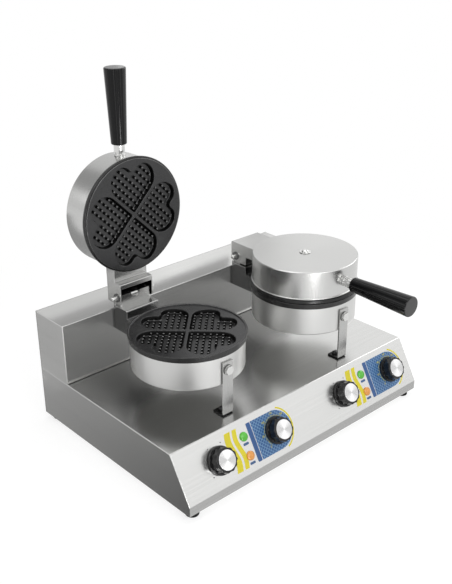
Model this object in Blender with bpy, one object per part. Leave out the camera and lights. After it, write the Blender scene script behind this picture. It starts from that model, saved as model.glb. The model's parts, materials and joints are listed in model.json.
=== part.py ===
"""Double waffle maker: two round hinged irons on one sheet-steel base. Metres, +Z up.

+X is to the right of someone standing in front of it and +Y to the back. The origin is on the
floor, under the middle of the object's box. The left lid stands open and the right one is shut.
"""

import math

import bmesh
import bpy
from mathutils import Matrix, Vector

# Base housing: one folded sheet with a lip, a sloped control panel and a deck
base_width = 0.535
base_depth = 0.3883
deck_height = 0.088
lip_height = 0.016
slope_run = 0.042
sheet = 0.0015

# Rear box that stands on the deck and carries the hinges
rear_depth = 0.0804
rear_drop = 0.022
louvre_length = 0.070
louvre_height = 0.004
louvre_low_share = 0.5
louvre_pitch = 0.012
louvre_rows = 3
louvre_spacing = 0.180

# Feet, mains inlet and what is inside the base
foot_height = 0.011
foot_radius = 0.011
foot_top_radius = 0.009
foot_inset_x = 0.0175
foot_inset_y = 0.0150
gland_reach = 0.012
gland_radius = 0.011
gland_nut_radius = 0.014
gland_nut_length = 0.005
gland_bore_radius = 0.0045
gland_height = 0.030
gland_x = 0.180
terminal_length = 0.060
terminal_width = 0.022
terminal_height = 0.018
terminal_slot = 0.004
terminal_slot_share = 0.5
terminal_place_share = 0.25
terminal_ways = 3

# Irons: height above the deck, then upwards along the iron's own axis
iron_spacing = 0.267
pan_radius = 0.0912
pan_wall = 0.002
pan_edge = 0.0015
pan_clearance = 0.0547
lower_pan_height = 0.049
lid_pan_height = 0.0496
lid_bead = 0.0012
lid_bead_height = 0.0026

# Cast plates with four hearts, in the plate's own frame: the parting face is at zero
plate_overhang = 0.0038
plate_draft = 0.0012
lower_rim = 0.0095
lid_rim = 0.0060
rim_width = 0.003
lip_rise = 0.0018
seat_rise = 0.0015
seat_clearance = 0.0005
recess_depth = 0.008
floor_thickness = 0.007
rib_width = 0.005
heart_length = 0.0745
heart_lobe = 0.046
heart_shoulder_radius = 0.026
heart_lobe_radius = 0.018
heart_notch_radius = 0.006
heart_point_radius = 0.003
heart_draft = 0.0015
pin_pitch = 0.00985
pin_first = 0.0074
pin_width = 0.0047
pin_height = 0.0056
pin_root = 0.001
pins_along = 7
pins_across = 4
boss_radius = 0.009

# Heating elements under each plate
heater_radius = 0.058
heater_tube = 0.004
heater_gap_angle = math.radians(30)
heater_tail = 0.012
heater_points = 12

# Hinge: a folded bracket on the lid swings on a bolt through the ears of a fixed block
hinge_setback = 0.0106
hinge_rise = 0.016
hinge_reach = 0.1404
open_angle = math.radians(90.2)
bracket_width = 0.0658
bracket_sheet = 0.002
bracket_top = 0.0256
bracket_rear = 0.0119
bracket_bottom = 0.0116
bracket_step_y = 0.0262
bracket_step_z = 0.0033
bracket_corner = 0.008
bracket_flange = 0.0087
block_margin = 0.0001
block_sheet = 0.002
ledge_drop = 0.0038
block_step = 0.0300
block_bottom = 0.0594
block_front_share = 0.5
stop_height = 0.0032
stop_length = 0.0048
ear_sheet = 0.0025
ear_front_margin = 0.0008
ear_rear_margin = 0.0035
ear_rise = 0.0055
ear_play = 0.0005
ear_notch_margin = 0.005
pivot_radius = 0.004
pin_washer_margin = 0.0034
pin_washer = 0.0013
pin_end = 0.0085
pin_dome = 0.0015
pin_nut_margin = 0.0035
pin_nut_height = 0.005
pin_tail = 0.004

# Leg under the front of each iron
leg_width = 0.021
leg_sheet = 0.0025
leg_top_margin = 0.014
leg_foot = 0.023
leg_bend = 0.003
leg_nut_y = 0.0155
leg_nut_radius = 0.0055
leg_nut_height = 0.0042
leg_nut_dome = 0.0025
leg_bolt_rise = 0.0253
bolt_radius = 0.004
bolt_head_radius = 0.0085
bolt_head_height = 0.005
bolt_inside = 0.009

# Handle and the screw on top of each lid
handle_height = 0.0244
stem_length = 0.018
stem_radius = 0.00875
stem_neck_radius = 0.0065
stem_neck_length = 0.003
stem_stud_radius = 0.004
stem_stud_length = 0.060
stem_nut_radius = 0.0075
stem_nut_height = 0.006
grip_length = 0.1185
grip_base_radius = 0.0125
grip_end_radius = 0.01725
grip_edge = 0.002
lid_screw_radius = 0.010
lid_screw_head_radius = 0.006
lid_screw_washer = 0.0012
lid_screw_head = 0.0035
lid_screw_length = 0.012

# Controls on the sloped panel: places along X, and up the slope from the lip
control_rise = 0.041
timer_x = {"left": -0.190, "right": 0.091}
thermostat_x = {"left": -0.070, "right": 0.213}
lamp_x = {"left": -0.1335, "right": 0.145}
power_lamp_rise = 0.056
heat_lamp_rise = 0.025
knob_skirt_radius = 0.0225
knob_top_radius = 0.0205
knob_flute = 0.0014
knob_flutes = 12
knob_lift = 0.0008
knob_skirt_height = 0.005
knob_height = 0.0198
knob_bore_depth = 0.014
cap_radius = 0.0155
cap_height = 0.0012
spindle_radius = 0.003
bushing_radius = 0.005
bushing_height = 0.0005
control_half = 0.019
control_depth = 0.030
control_corner = 0.005
spindle_depth = 0.018
lamp_radius = 0.0075
lamp_neck_radius = 0.0055
lamp_rise = 0.0035
lamp_rim = 0.001
lamp_depth = 0.016

# Clearances, overruns of the cutting shapes and the fineness of round pieces
gap = 0.0003
overrun = 0.004
merge_distance = 0.000001
sharp_angle = math.radians(35)
pan_sides = 32
round_sides = 16
small_sides = 10
hex_sides = 6
control_sides = 8
corner_steps = 3

# Places that follow from the sizes above, from the front lip and the deck
hinge_y = base_depth - rear_depth - hinge_setback
iron_y = hinge_y - hinge_reach
hinge_z = pan_clearance + lower_pan_height + gap + lower_rim + hinge_rise
rear_height = hinge_z - rear_drop
leg_bolt_height = pan_clearance + leg_bolt_rise
leg_height = leg_bolt_height + leg_top_margin

# Fits: sizes that follow from the piece they go round
plate_radius = pan_radius + plate_overhang
spigot_radius = pan_radius - pan_wall - gap
block_width = bracket_width + 2 * block_margin
block_ledge = bracket_bottom + ledge_drop
ear_front = ear_sheet + pivot_radius + ear_front_margin
ear_rear = pivot_radius + ear_rear_margin
ear_notch_radius = pivot_radius + ear_notch_margin
pin_washer_radius = pivot_radius + pin_washer_margin
pin_nut_radius = pivot_radius + pin_nut_margin

# Places from the floor, with the origin under the middle of the object's box
grip_tip = iron_y - pan_radius - gap - stem_length - grip_length
front_y = -(grip_tip + base_depth + gland_reach) / 2
back_y = front_y + base_depth
base_z = foot_height
deck_z = base_z + deck_height
slope_angle = math.atan2(deck_height - lip_height, slope_run)
plate_z = deck_z + pan_clearance + lower_pan_height + gap + lower_rim

# Colour, roughness and metallic value of each finish
stainless = ((0.62, 0.62, 0.61), 0.32, 1.0)
bright_steel = ((0.72, 0.72, 0.71), 0.18, 1.0)
coated_iron = ((0.045, 0.045, 0.048), 0.42, 0.3)
black_bakelite = ((0.012, 0.012, 0.013), 0.22, 0.0)
aluminium = ((0.80, 0.80, 0.80), 0.25, 1.0)
black_rubber = ((0.015, 0.015, 0.015), 0.75, 0.0)
element_steel = ((0.28, 0.27, 0.26), 0.55, 1.0)
grey_ceramic = ((0.65, 0.62, 0.56), 0.60, 0.0)
black_nylon = ((0.02, 0.02, 0.02), 0.50, 0.0)
green_lens = ((0.05, 0.50, 0.04), 0.20, 0.0)
orange_lens = ((0.85, 0.28, 0.06), 0.20, 0.0)


def empty(name, place, turn=(0, 0, 0)):
    """An axis or a plane that pieces are placed on."""
    made = bpy.data.objects.new(name, None)
    made.location = place
    made.rotation_euler = turn
    bpy.context.scene.collection.objects.link(made)
    return made


def finished(name, finish):
    """The material that one piece is finished in."""
    colour, roughness, metallic = finish
    made = bpy.data.materials.new(name + "_finish")
    made.use_nodes = True
    shader = made.node_tree.nodes["Principled BSDF"].inputs
    shader["Base Color"].default_value = (*colour, 1)
    shader["Roughness"].default_value = roughness
    shader["Metallic"].default_value = metallic
    return made


def piece(name, shape, finish, parent=None, place=(0, 0, 0), turn=(0, 0, 0)):
    """One solid with its own material, from a mesh that is still being edited."""
    bmesh.ops.recalc_face_normals(shape, faces=shape.faces)
    mesh = bpy.data.meshes.new(name)
    shape.to_mesh(mesh)
    shape.free()
    mesh.shade_smooth()
    mesh.set_sharp_from_angle(angle=sharp_angle)
    mesh.materials.append(finished(name, finish))
    solid = bpy.data.objects.new(name, mesh)
    solid.parent = parent
    solid.location = place
    solid.rotation_euler = turn
    bpy.context.scene.collection.objects.link(solid)
    return solid


def tool(target, operation, shape):
    """Cuts a shape from the target, or unites it with the target, in the target's own frame."""
    bmesh.ops.recalc_face_normals(shape, faces=shape.faces)
    mesh = bpy.data.meshes.new(target.name + "_tool")
    shape.to_mesh(mesh)
    shape.free()
    made = bpy.data.objects.new(mesh.name, mesh)
    made.parent = target
    made.hide_render = True
    made.display_type = "WIRE"
    bpy.context.scene.collection.objects.link(made)
    step = target.modifiers.new(operation.title(), "BOOLEAN")
    step.operation = operation
    step.solver = "EXACT"
    step.object = made


def cut(target, *shapes):
    for shape in shapes:
        tool(target, "DIFFERENCE", shape)


def unite(target, *shapes):
    for shape in shapes:
        tool(target, "UNION", shape)


def turned(profile, sides):
    """A turned solid about Z. The profile's (radius, height) points start and end on the axis,
    or go round a ring's section."""
    shape = bmesh.new()
    points = [shape.verts.new((radius, 0, height)) for radius, height in profile]
    edges = [shape.edges.new(ends) for ends in zip(points, points[1:])]
    if profile[0][0] and profile[-1][0]:
        edges.append(shape.edges.new((points[-1], points[0])))
    bmesh.ops.spin(
        shape,
        geom=points + edges,
        axis=(0, 0, 1),
        cent=(0, 0, 0),
        angle=math.tau,
        steps=sides,
        use_merge=True,
    )
    bmesh.ops.remove_doubles(shape, verts=shape.verts, dist=merge_distance)
    return shape


def lofted(sections):
    """A solid through (outline, height) sections, whose outlines have equally many points."""
    shape = bmesh.new()
    rings = [
        [shape.verts.new((x, y, height)) for x, y in outline]
        for outline, height in sections
    ]
    for ring, following in zip(rings, rings[1:]):
        for index in range(len(ring)):
            behind = index - 1
            shape.faces.new(
                (ring[behind], ring[index], following[index], following[behind])
            )
    shape.faces.new(rings[0])
    shape.faces.new(rings[-1])
    return shape


def extruded(outline, low, high):
    return lofted([(outline, low), (outline, high)])


def across(outline, width):
    """An outline of (y, z) points drawn out along X, half of the width to each side."""
    shape = extruded(outline, -width / 2, width / 2)
    side_on = Matrix(((0, 0, 1, 0), (1, 0, 0, 0), (0, 1, 0, 0), (0, 0, 0, 1)))
    bmesh.ops.transform(shape, matrix=side_on, verts=shape.verts)
    return shape


def moved(shape, place=(0, 0, 0), turn=0, axis="X"):
    """The shape turned about an axis through its own origin, then moved."""
    matrix = Matrix.Translation(place) @ Matrix.Rotation(turn, 4, axis)
    bmesh.ops.transform(shape, matrix=matrix, verts=shape.verts)
    return shape


def gathered(shapes):
    """Several shapes as the separate bodies of one mesh."""
    whole = bmesh.new()
    for shape in shapes:
        mesh = bpy.data.meshes.new("gathered")
        shape.to_mesh(mesh)
        shape.free()
        whole.from_mesh(mesh)
        bpy.data.meshes.remove(mesh)
    return whole


def rod(radius, low, high, sides=round_sides):
    return turned([(0, low), (radius, low), (radius, high), (0, high)], sides)


def circle(radius, points):
    angles = [math.tau * (index + 0.5) / points for index in range(points)]
    return [(radius * math.cos(a), radius * math.sin(a)) for a in angles]


def rectangle(low_x, high_x, low_y, high_y):
    return [(low_x, low_y), (high_x, low_y), (high_x, high_y), (low_x, high_y)]


def filleted(corners, steps=corner_steps):
    """A closed outline through (x, y, fillet radius) corners, with an arc at each fillet."""
    outline = []
    for index, (x, y, radius) in enumerate(corners):
        corner = Vector((x, y))
        if not radius:
            outline.append(corner)
            continue
        back = (Vector(corners[index - 1][:2]) - corner).normalized()
        onward = (Vector(corners[(index + 1) % len(corners)][:2]) - corner).normalized()
        half = back.angle(onward) / 2
        middle = corner + (back + onward).normalized() * radius / math.sin(half)
        spoke = corner + back * radius / math.tan(half) - middle
        sweep = math.copysign(math.pi - 2 * half, onward.cross(back))
        for step in range(steps + 1):
            turn = Matrix.Rotation(sweep * step / steps, 2)
            outline.append(middle + turn @ spoke)
    return outline


def inward(outline, distance):
    """The outline, listed anticlockwise, with each side moved inwards."""
    points = [Vector(point) for point in outline]
    moved_in = []
    for index, point in enumerate(points):
        before = (point - points[index - 1]).normalized()
        after = (points[(index + 1) % len(points)] - point).normalized()
        slant = before.orthogonal() + after.orthogonal()
        moved_in.append(point + slant * (distance / (1 + before.dot(after))))
    return moved_in


def base_outline(low, depth):
    """The side view of the base from the bottom of its lip, anticlockwise."""
    return [
        (depth, low),
        (depth, deck_height),
        (slope_run, deck_height),
        (0, lip_height),
        (0, low),
    ]


def rear_outline(low, depth):
    start = base_depth - rear_depth
    top = rear_height
    return [(start, low), (depth, low), (depth, top), (start, top)]


def build_base():
    """The folded base, the rear box on it, and the panels that close them."""
    shell_depth = base_depth - sheet - gap
    beyond = sheet + overrun
    shell = piece(
        "base_shell",
        across(base_outline(0, shell_depth), base_width),
        stainless,
        place=(0, front_y, base_z),
    )
    hollow = inward(base_outline(-beyond, shell_depth + beyond), sheet)
    cut(shell, across(hollow, base_width - 2 * sheet))
    holes = []
    for side in ("left", "right"):
        for x in (timer_x[side], thermostat_x[side]):
            holes.append((x, control_rise, bushing_radius))
        for rise in (power_lamp_rise, heat_lamp_rise):
            holes.append((lamp_x[side], rise, lamp_neck_radius))
    drills = [
        moved(rod(radius + gap, -overrun, overrun, small_sides), (x, rise, 0))
        for x, rise, radius in holes
    ]
    cut(shell, moved(gathered(drills), (0, 0, lip_height), slope_angle))

    rear = piece(
        "rear_box",
        across(rear_outline(gap, shell_depth), base_width),
        stainless,
        place=(0, front_y, deck_z),
    )
    hollow = inward(rear_outline(-beyond, shell_depth + beyond), sheet)
    cut(rear, across(hollow, base_width - 2 * sheet))

    half = base_width / 2
    back = piece(
        "back_panel",
        across(
            rectangle(base_depth - sheet, base_depth, 0, deck_height + rear_height),
            base_width,
        ),
        stainless,
        place=(0, front_y, base_z),
    )
    slots = []
    for side in (-1, 1):
        middle = side * louvre_spacing / 2
        for row in range(louvre_rows):
            low = deck_height * louvre_low_share + row * louvre_pitch
            sides = rectangle(
                middle - louvre_length / 2, middle + louvre_length / 2, -overrun, overrun
            )
            slot = extruded(sides, low, low + louvre_height)
            slots.append(moved(slot, (0, base_depth, 0)))
    cut(back, gathered(slots))
    inlet = rod(gland_radius + gap, -overrun, overrun, round_sides)
    cut(back, moved(inlet, (gland_x, base_depth, gland_height), math.pi / 2))

    plate_half = half - sheet - gap
    floor_outline = rectangle(-plate_half, plate_half, sheet + gap, shell_depth)
    piece(
        "bottom_plate",
        extruded(floor_outline, 0, sheet),
        stainless,
        place=(0, front_y, base_z),
    )
    for side, x in (("left", foot_inset_x - half), ("right", half - foot_inset_x)):
        for end, y in (("front", foot_inset_y), ("rear", base_depth - foot_inset_y)):
            profile = [
                (0, 0),
                (foot_radius, 0),
                (foot_top_radius, foot_height - gap),
                (0, foot_height - gap),
            ]
            piece(
                f"foot_{end}_{side}",
                turned(profile, round_sides),
                black_rubber,
                place=(x, front_y + y, 0),
            )


def build_inlet():
    """The cable gland in the back panel and the terminal block behind it."""
    inside = sheet + gland_nut_length + gap
    profile = [
        (gland_bore_radius, gland_reach),
        (gland_bore_radius, -inside),
        (gland_radius, -inside),
        (gland_radius, gap),
        (gland_nut_radius, gap),
        (gland_nut_radius, gland_nut_length),
        (gland_radius, gland_nut_length),
        (gland_radius, gland_reach),
    ]
    piece(
        "cable_gland",
        turned(profile, round_sides),
        black_nylon,
        place=(gland_x, back_y, base_z + gland_height),
        turn=(-math.pi / 2, 0, 0),
    )
    half = terminal_length / 2
    floor_z = base_z + sheet + gap
    block = piece(
        "terminal_block",
        extruded(rectangle(-half, half, 0, terminal_width), 0, terminal_height),
        grey_ceramic,
        place=(gland_x - half, back_y - base_depth * terminal_place_share, floor_z),
    )
    pitch = terminal_length / terminal_ways
    slots = []
    for way in range(terminal_ways):
        middle = (way + 0.5) * pitch - half
        sides = rectangle(
            middle - terminal_slot / 2,
            middle + terminal_slot / 2,
            -overrun,
            terminal_width + overrun,
        )
        floor = terminal_height * terminal_slot_share
        slots.append(extruded(sides, floor, terminal_height + overrun))
    cut(block, gathered(slots))


def fluted(radius):
    """The knob's outline: a crest and a hollow for each flute."""
    outline = []
    for index in range(2 * knob_flutes):
        angle = math.pi * index / knob_flutes
        reach = radius - knob_flute * (index % 2)
        outline.append((reach * math.cos(angle), reach * math.sin(angle)))
    return outline


def build_control(name, x, panel):
    """A rotary control: its switch body inside, its spindle, the fluted knob and its cap."""
    points = 2 * knob_flutes
    place = (x, control_rise, 0)
    bore = circle(spindle_radius + gap, points)
    knob = lofted(
        [
            (bore, knob_bore_depth),
            (bore, knob_lift),
            (circle(knob_skirt_radius, points), knob_lift),
            (circle(knob_skirt_radius, points), knob_skirt_height),
            (fluted(knob_top_radius), knob_skirt_height),
            (fluted(knob_top_radius), knob_height),
        ]
    )
    piece(f"{name}_knob", knob, black_bakelite, panel, place)
    cap = rod(cap_radius, knob_height + gap, knob_height + cap_height)
    piece(f"{name}_cap", cap, aluminium, panel, place)

    body = filleted(
        [
            (control_half, -control_half, control_corner),
            (control_half, control_half, control_corner),
            (-control_half, control_half, control_corner),
            (-control_half, -control_half, control_corner),
        ],
        steps=control_sides // 4 - 1,
    )
    neck = circle(bushing_radius, control_sides)
    bore = circle(spindle_radius + gap, control_sides)
    under = -sheet - gap
    switch = lofted(
        [
            (body, under - control_depth),
            (body, under),
            (neck, under),
            (neck, bushing_height),
            (bore, bushing_height),
            (bore, -spindle_depth - gap),
        ]
    )
    piece(f"{name}_body", switch, grey_ceramic, panel, place)
    spindle = rod(spindle_radius, -spindle_depth, knob_bore_depth - gap, small_sides)
    piece(f"{name}_spindle", spindle, bright_steel, panel, place)


def build_lamp(name, x, rise, finish, panel):
    """A pilot lamp: a domed lens on a neck that passes through the panel."""
    profile = [
        (0, -lamp_depth),
        (lamp_neck_radius, -lamp_depth),
        (lamp_neck_radius, gap),
        (lamp_radius, gap),
        (lamp_radius, lamp_rim),
    ]
    for step in (1, 2):
        angle = step * math.pi / 6
        dome = lamp_rim + (lamp_rise - lamp_rim) * math.sin(angle)
        profile.append((lamp_radius * math.cos(angle), dome))
    profile.append((0, lamp_rise))
    piece(name, turned(profile, small_sides), finish, panel, (x, rise, 0))


def build_panel():
    panel = empty("panel_plane", (0, front_y, base_z + lip_height), (slope_angle, 0, 0))
    for side in ("left", "right"):
        build_control(f"{side}_timer", timer_x[side], panel)
        build_control(f"{side}_thermostat", thermostat_x[side], panel)
        x = lamp_x[side]
        build_lamp(f"{side}_power_lamp", x, power_lamp_rise, green_lens, panel)
        build_lamp(f"{side}_heat_lamp", x, heat_lamp_rise, orange_lens, panel)


def heart(inset):
    """A heart with its point at the plate's centre, between the ribs that run along X and Y."""
    near = rib_width / 2 + inset
    far = rib_width / 2 + heart_length - inset
    side = rib_width / 2 + heart_lobe - inset
    return filleted(
        [
            (near, near, heart_point_radius),
            (far, near, heart_shoulder_radius - inset),
            (far, side, heart_lobe_radius - inset),
            (side, side, heart_notch_radius + inset),
            (side, far, heart_lobe_radius - inset),
            (near, far, heart_shoulder_radius - inset),
        ]
    )


def waffle_pin(x, y, floor):
    """One pointed pin of the grid, sunk a little into the floor that it grows from."""
    half = pin_width / 2 * (1 + pin_root / pin_height)
    shape = bmesh.new()
    tip = shape.verts.new((x, y, floor + pin_height))
    corners = rectangle(x - half, x + half, y - half, y + half)
    ring = [shape.verts.new((*corner, floor - pin_root)) for corner in corners]
    for index in range(len(ring)):
        shape.faces.new((ring[index - 1], ring[index], tip))
    shape.faces.new(ring)
    return shape


def heart_pins(floor):
    """The square grid of pins in one heart: no pin in its rounded corners or outside its notch."""
    pins = []
    last = pins_along - 1
    for row in range(pins_along):
        for column in range(pins_along):
            in_corner = (row, column) in ((0, last), (last, 0))
            past_notch = row >= pins_across and column >= pins_across
            if not in_corner and not past_notch:
                x = pin_first + row * pin_pitch
                y = pin_first + column * pin_pitch
                pins.append(waffle_pin(x, y, floor))
    return pins


def build_plate(name, profile, face, parent, place, turn):
    """A cast plate, face up in its own frame: four tapered hearts, each with its grid of pins."""
    plate = piece(name, turned(profile, pan_sides), coated_iron, parent, place, turn)
    floor = face - recess_depth
    hollows = []
    pins = []
    for quarter in range(4):
        angle = (quarter + 0.5) * math.pi / 2
        hollow = lofted(
            [
                (heart(heart_draft), floor),
                (heart(0), face),
                (heart(0), face + overrun),
            ]
        )
        hollows.append(moved(hollow, turn=angle, axis="Z"))
        for pin in heart_pins(floor):
            pins.append(moved(pin, turn=angle, axis="Z"))
    cut(plate, gathered(hollows))
    unite(plate, gathered(pins))
    return plate


def element(name, parent, place, turn):
    """A tubular heating element: an open ring whose two ends turn away from the plate."""
    curve = bpy.data.curves.new(name, "CURVE")
    curve.dimensions = "3D"
    curve.bevel_depth = heater_tube
    curve.bevel_resolution = 1
    curve.use_fill_caps = True
    sweep = math.tau - heater_gap_angle
    ring = []
    for index in range(heater_points):
        angle = heater_gap_angle / 2 + sweep * index / (heater_points - 1)
        x, y = heater_radius * math.cos(angle), heater_radius * math.sin(angle)
        ring.append((x, y, 0))
    tails = [(x, y, -heater_tail) for x, y, level in (ring[0], ring[-1])]
    route = [tails[0], *ring, tails[1]]
    spline = curve.splines.new("POLY")
    spline.points.add(len(route) - 1)
    for point, spot in zip(spline.points, route):
        point.co = (*spot, 1)
    curve.materials.append(finished(name, element_steel))
    solid = bpy.data.objects.new(name, curve)
    solid.parent = parent
    solid.location = place
    solid.rotation_euler = turn
    bpy.context.scene.collection.objects.link(solid)


def build_lower_iron(side, x):
    """The fixed half of an iron: pan, plate, element, and the leg under its front."""
    axis = empty(f"{side}_iron_axis", (x, front_y + iron_y, 0))
    pan_z = deck_z + pan_clearance
    profile = [
        (0, 0),
        (pan_radius - pan_edge, 0),
        (pan_radius, pan_edge),
        (pan_radius, lower_pan_height),
        (pan_radius - pan_wall, lower_pan_height),
        (pan_radius - pan_wall, pan_wall),
        (0, pan_wall),
    ]
    pan = piece(
        f"{side}_lower_housing",
        turned(profile, pan_sides),
        stainless,
        axis,
        (0, 0, pan_z),
    )
    bolt_z = deck_z + leg_bolt_height
    drill = rod(bolt_radius + gap, -overrun, overrun, small_sides)
    cut(pan, moved(drill, (0, -pan_radius, bolt_z - pan_z), math.pi / 2))

    face = -lip_rise
    under = face - recess_depth - floor_thickness
    rim_inner = plate_radius - rim_width
    plate_profile = [
        (0, face),
        (rim_inner, face),
        (rim_inner, 0),
        (plate_radius, 0),
        (plate_radius - plate_draft, -lower_rim),
        (spigot_radius, -lower_rim),
        (spigot_radius, under),
        (0, under),
    ]
    name = f"{side}_lower_plate"
    build_plate(name, plate_profile, face, axis, (0, 0, plate_z), (0, 0, 0))
    heater_z = plate_z + under - gap - heater_tube
    element(f"{side}_lower_heater", axis, (0, 0, heater_z), (0, 0, 0))

    rear = iron_y - pan_radius - gap
    front = rear - leg_sheet
    low = gap
    leg = piece(
        f"{side}_leg",
        across(
            filleted(
                [
                    (front, low, leg_bend),
                    (front + leg_foot, low, 0),
                    (front + leg_foot, low + leg_sheet, 0),
                    (rear, low + leg_sheet, leg_bend - leg_sheet),
                    (rear, leg_height, 0),
                    (front, leg_height, 0),
                ],
                steps=2,
            ),
            leg_width,
        ),
        stainless,
        place=(x, front_y, deck_z),
    )
    drill = rod(bolt_radius + gap, -overrun, overrun, small_sides)
    cut(leg, moved(drill, (0, front, leg_bolt_height), math.pi / 2))
    nut_top = low + leg_sheet + leg_nut_height
    profile = [
        (0, low + leg_sheet / 2),
        (leg_nut_radius, low + leg_sheet / 2),
        (leg_nut_radius, nut_top - leg_nut_dome),
        (leg_nut_radius / 2, nut_top),
        (0, nut_top),
    ]
    unite(leg, moved(turned(profile, small_sides), (0, front + leg_nut_y, 0)))
    screw = piece(
        f"{side}_leg_bolt",
        rod(bolt_head_radius, 0, bolt_head_height, hex_sides),
        bright_steel,
        place=(x, front_y + front - gap, bolt_z),
        turn=(math.pi / 2, 0, 0),
    )
    shank_end = leg_sheet + pan_wall + bolt_inside
    unite(screw, rod(bolt_radius, -shank_end, bolt_head_height / 2, small_sides))


def build_hinge_block(side, x):
    """The fixed half of a hinge: a folded box against the rear box, with ears for the bolt."""
    start = hinge_y - (base_depth - rear_depth) + gap
    behind = -start
    forward = hinge_reach - pan_radius * block_front_share
    corners = [
        (-forward, -block_bottom),
        (behind, -block_bottom),
        (behind, -block_ledge + stop_height),
        (behind - stop_length, -block_ledge + stop_height),
        (behind - stop_length, -block_ledge),
        (-bracket_step_y, -block_ledge),
        (-bracket_step_y, -block_step),
        (-forward, -block_step),
    ]
    place = (x, front_y + hinge_y, deck_z + hinge_z)
    name = f"{side}_hinge_block"
    block = piece(name, across(corners, block_width), stainless, place=place)
    inner = block_sheet
    hollow = [
        (-forward - overrun, -block_bottom + inner),
        (behind + overrun, -block_bottom + inner),
        (behind + overrun, -block_ledge - inner),
        (-bracket_step_y + inner, -block_ledge - inner),
        (-bracket_step_y + inner, -block_step - inner),
        (-forward - overrun, -block_step - inner),
    ]
    between = rectangle(
        behind - stop_length - gap, behind + overrun, -block_ledge, stop_height
    )
    clear_width = block_width - 2 * inner
    cut(block, across(hollow, clear_width), across(between, clear_width))
    low = -block_bottom - overrun
    pan = rod(pan_radius + gap, low, overrun, pan_sides)
    cut(block, moved(pan, (0, -hinge_reach, 0)))

    outer = bracket_width / 2 - bracket_sheet - ear_play
    web = ear_sheet - ear_front
    ears = [
        (-outer, ear_rear),
        (-outer, -ear_front),
        (outer, -ear_front),
        (outer, ear_rear),
        (outer - ear_sheet, ear_rear),
        (outer - ear_sheet, web),
        (ear_sheet - outer, web),
        (ear_sheet - outer, ear_rear),
    ]
    unite(block, extruded(ears, -block_ledge - inner / 2, ear_rise))
    notch = rod(ear_notch_radius, -overrun, overrun, round_sides)
    reach = bracket_width / 2 + overrun
    bore = rod(pivot_radius + gap, -reach, reach, small_sides)
    cut(
        block,
        moved(notch, (0, -ear_front, ear_rise), math.pi / 2),
        moved(bore, turn=math.pi / 2, axis="Y"),
    )

    reach = bracket_width + 2 * gap + pin_nut_height + pin_tail
    profile = [
        (0, -reach),
        (pivot_radius, -reach),
        (pivot_radius, 0),
        (pin_washer_radius, 0),
        (pin_washer_radius, pin_washer),
        (pivot_radius, pin_washer),
        (pivot_radius, pin_end),
        (pivot_radius / 2, pin_end + pin_dome),
        (0, pin_end + pin_dome),
    ]
    end = bracket_width / 2 + gap
    piece(
        f"{side}_hinge_pin",
        turned(profile, small_sides),
        bright_steel,
        place=(x - end, place[1], place[2]),
        turn=(0, -math.pi / 2, 0),
    )
    nut = piece(
        f"{side}_hinge_nut",
        rod(pin_nut_radius, 0, pin_nut_height, hex_sides),
        bright_steel,
        place=(x + end, place[1], place[2]),
        turn=(0, math.pi / 2, 0),
    )
    drill = rod(pivot_radius + gap, -overrun, pin_nut_height + overrun, small_sides)
    cut(nut, drill)


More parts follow.
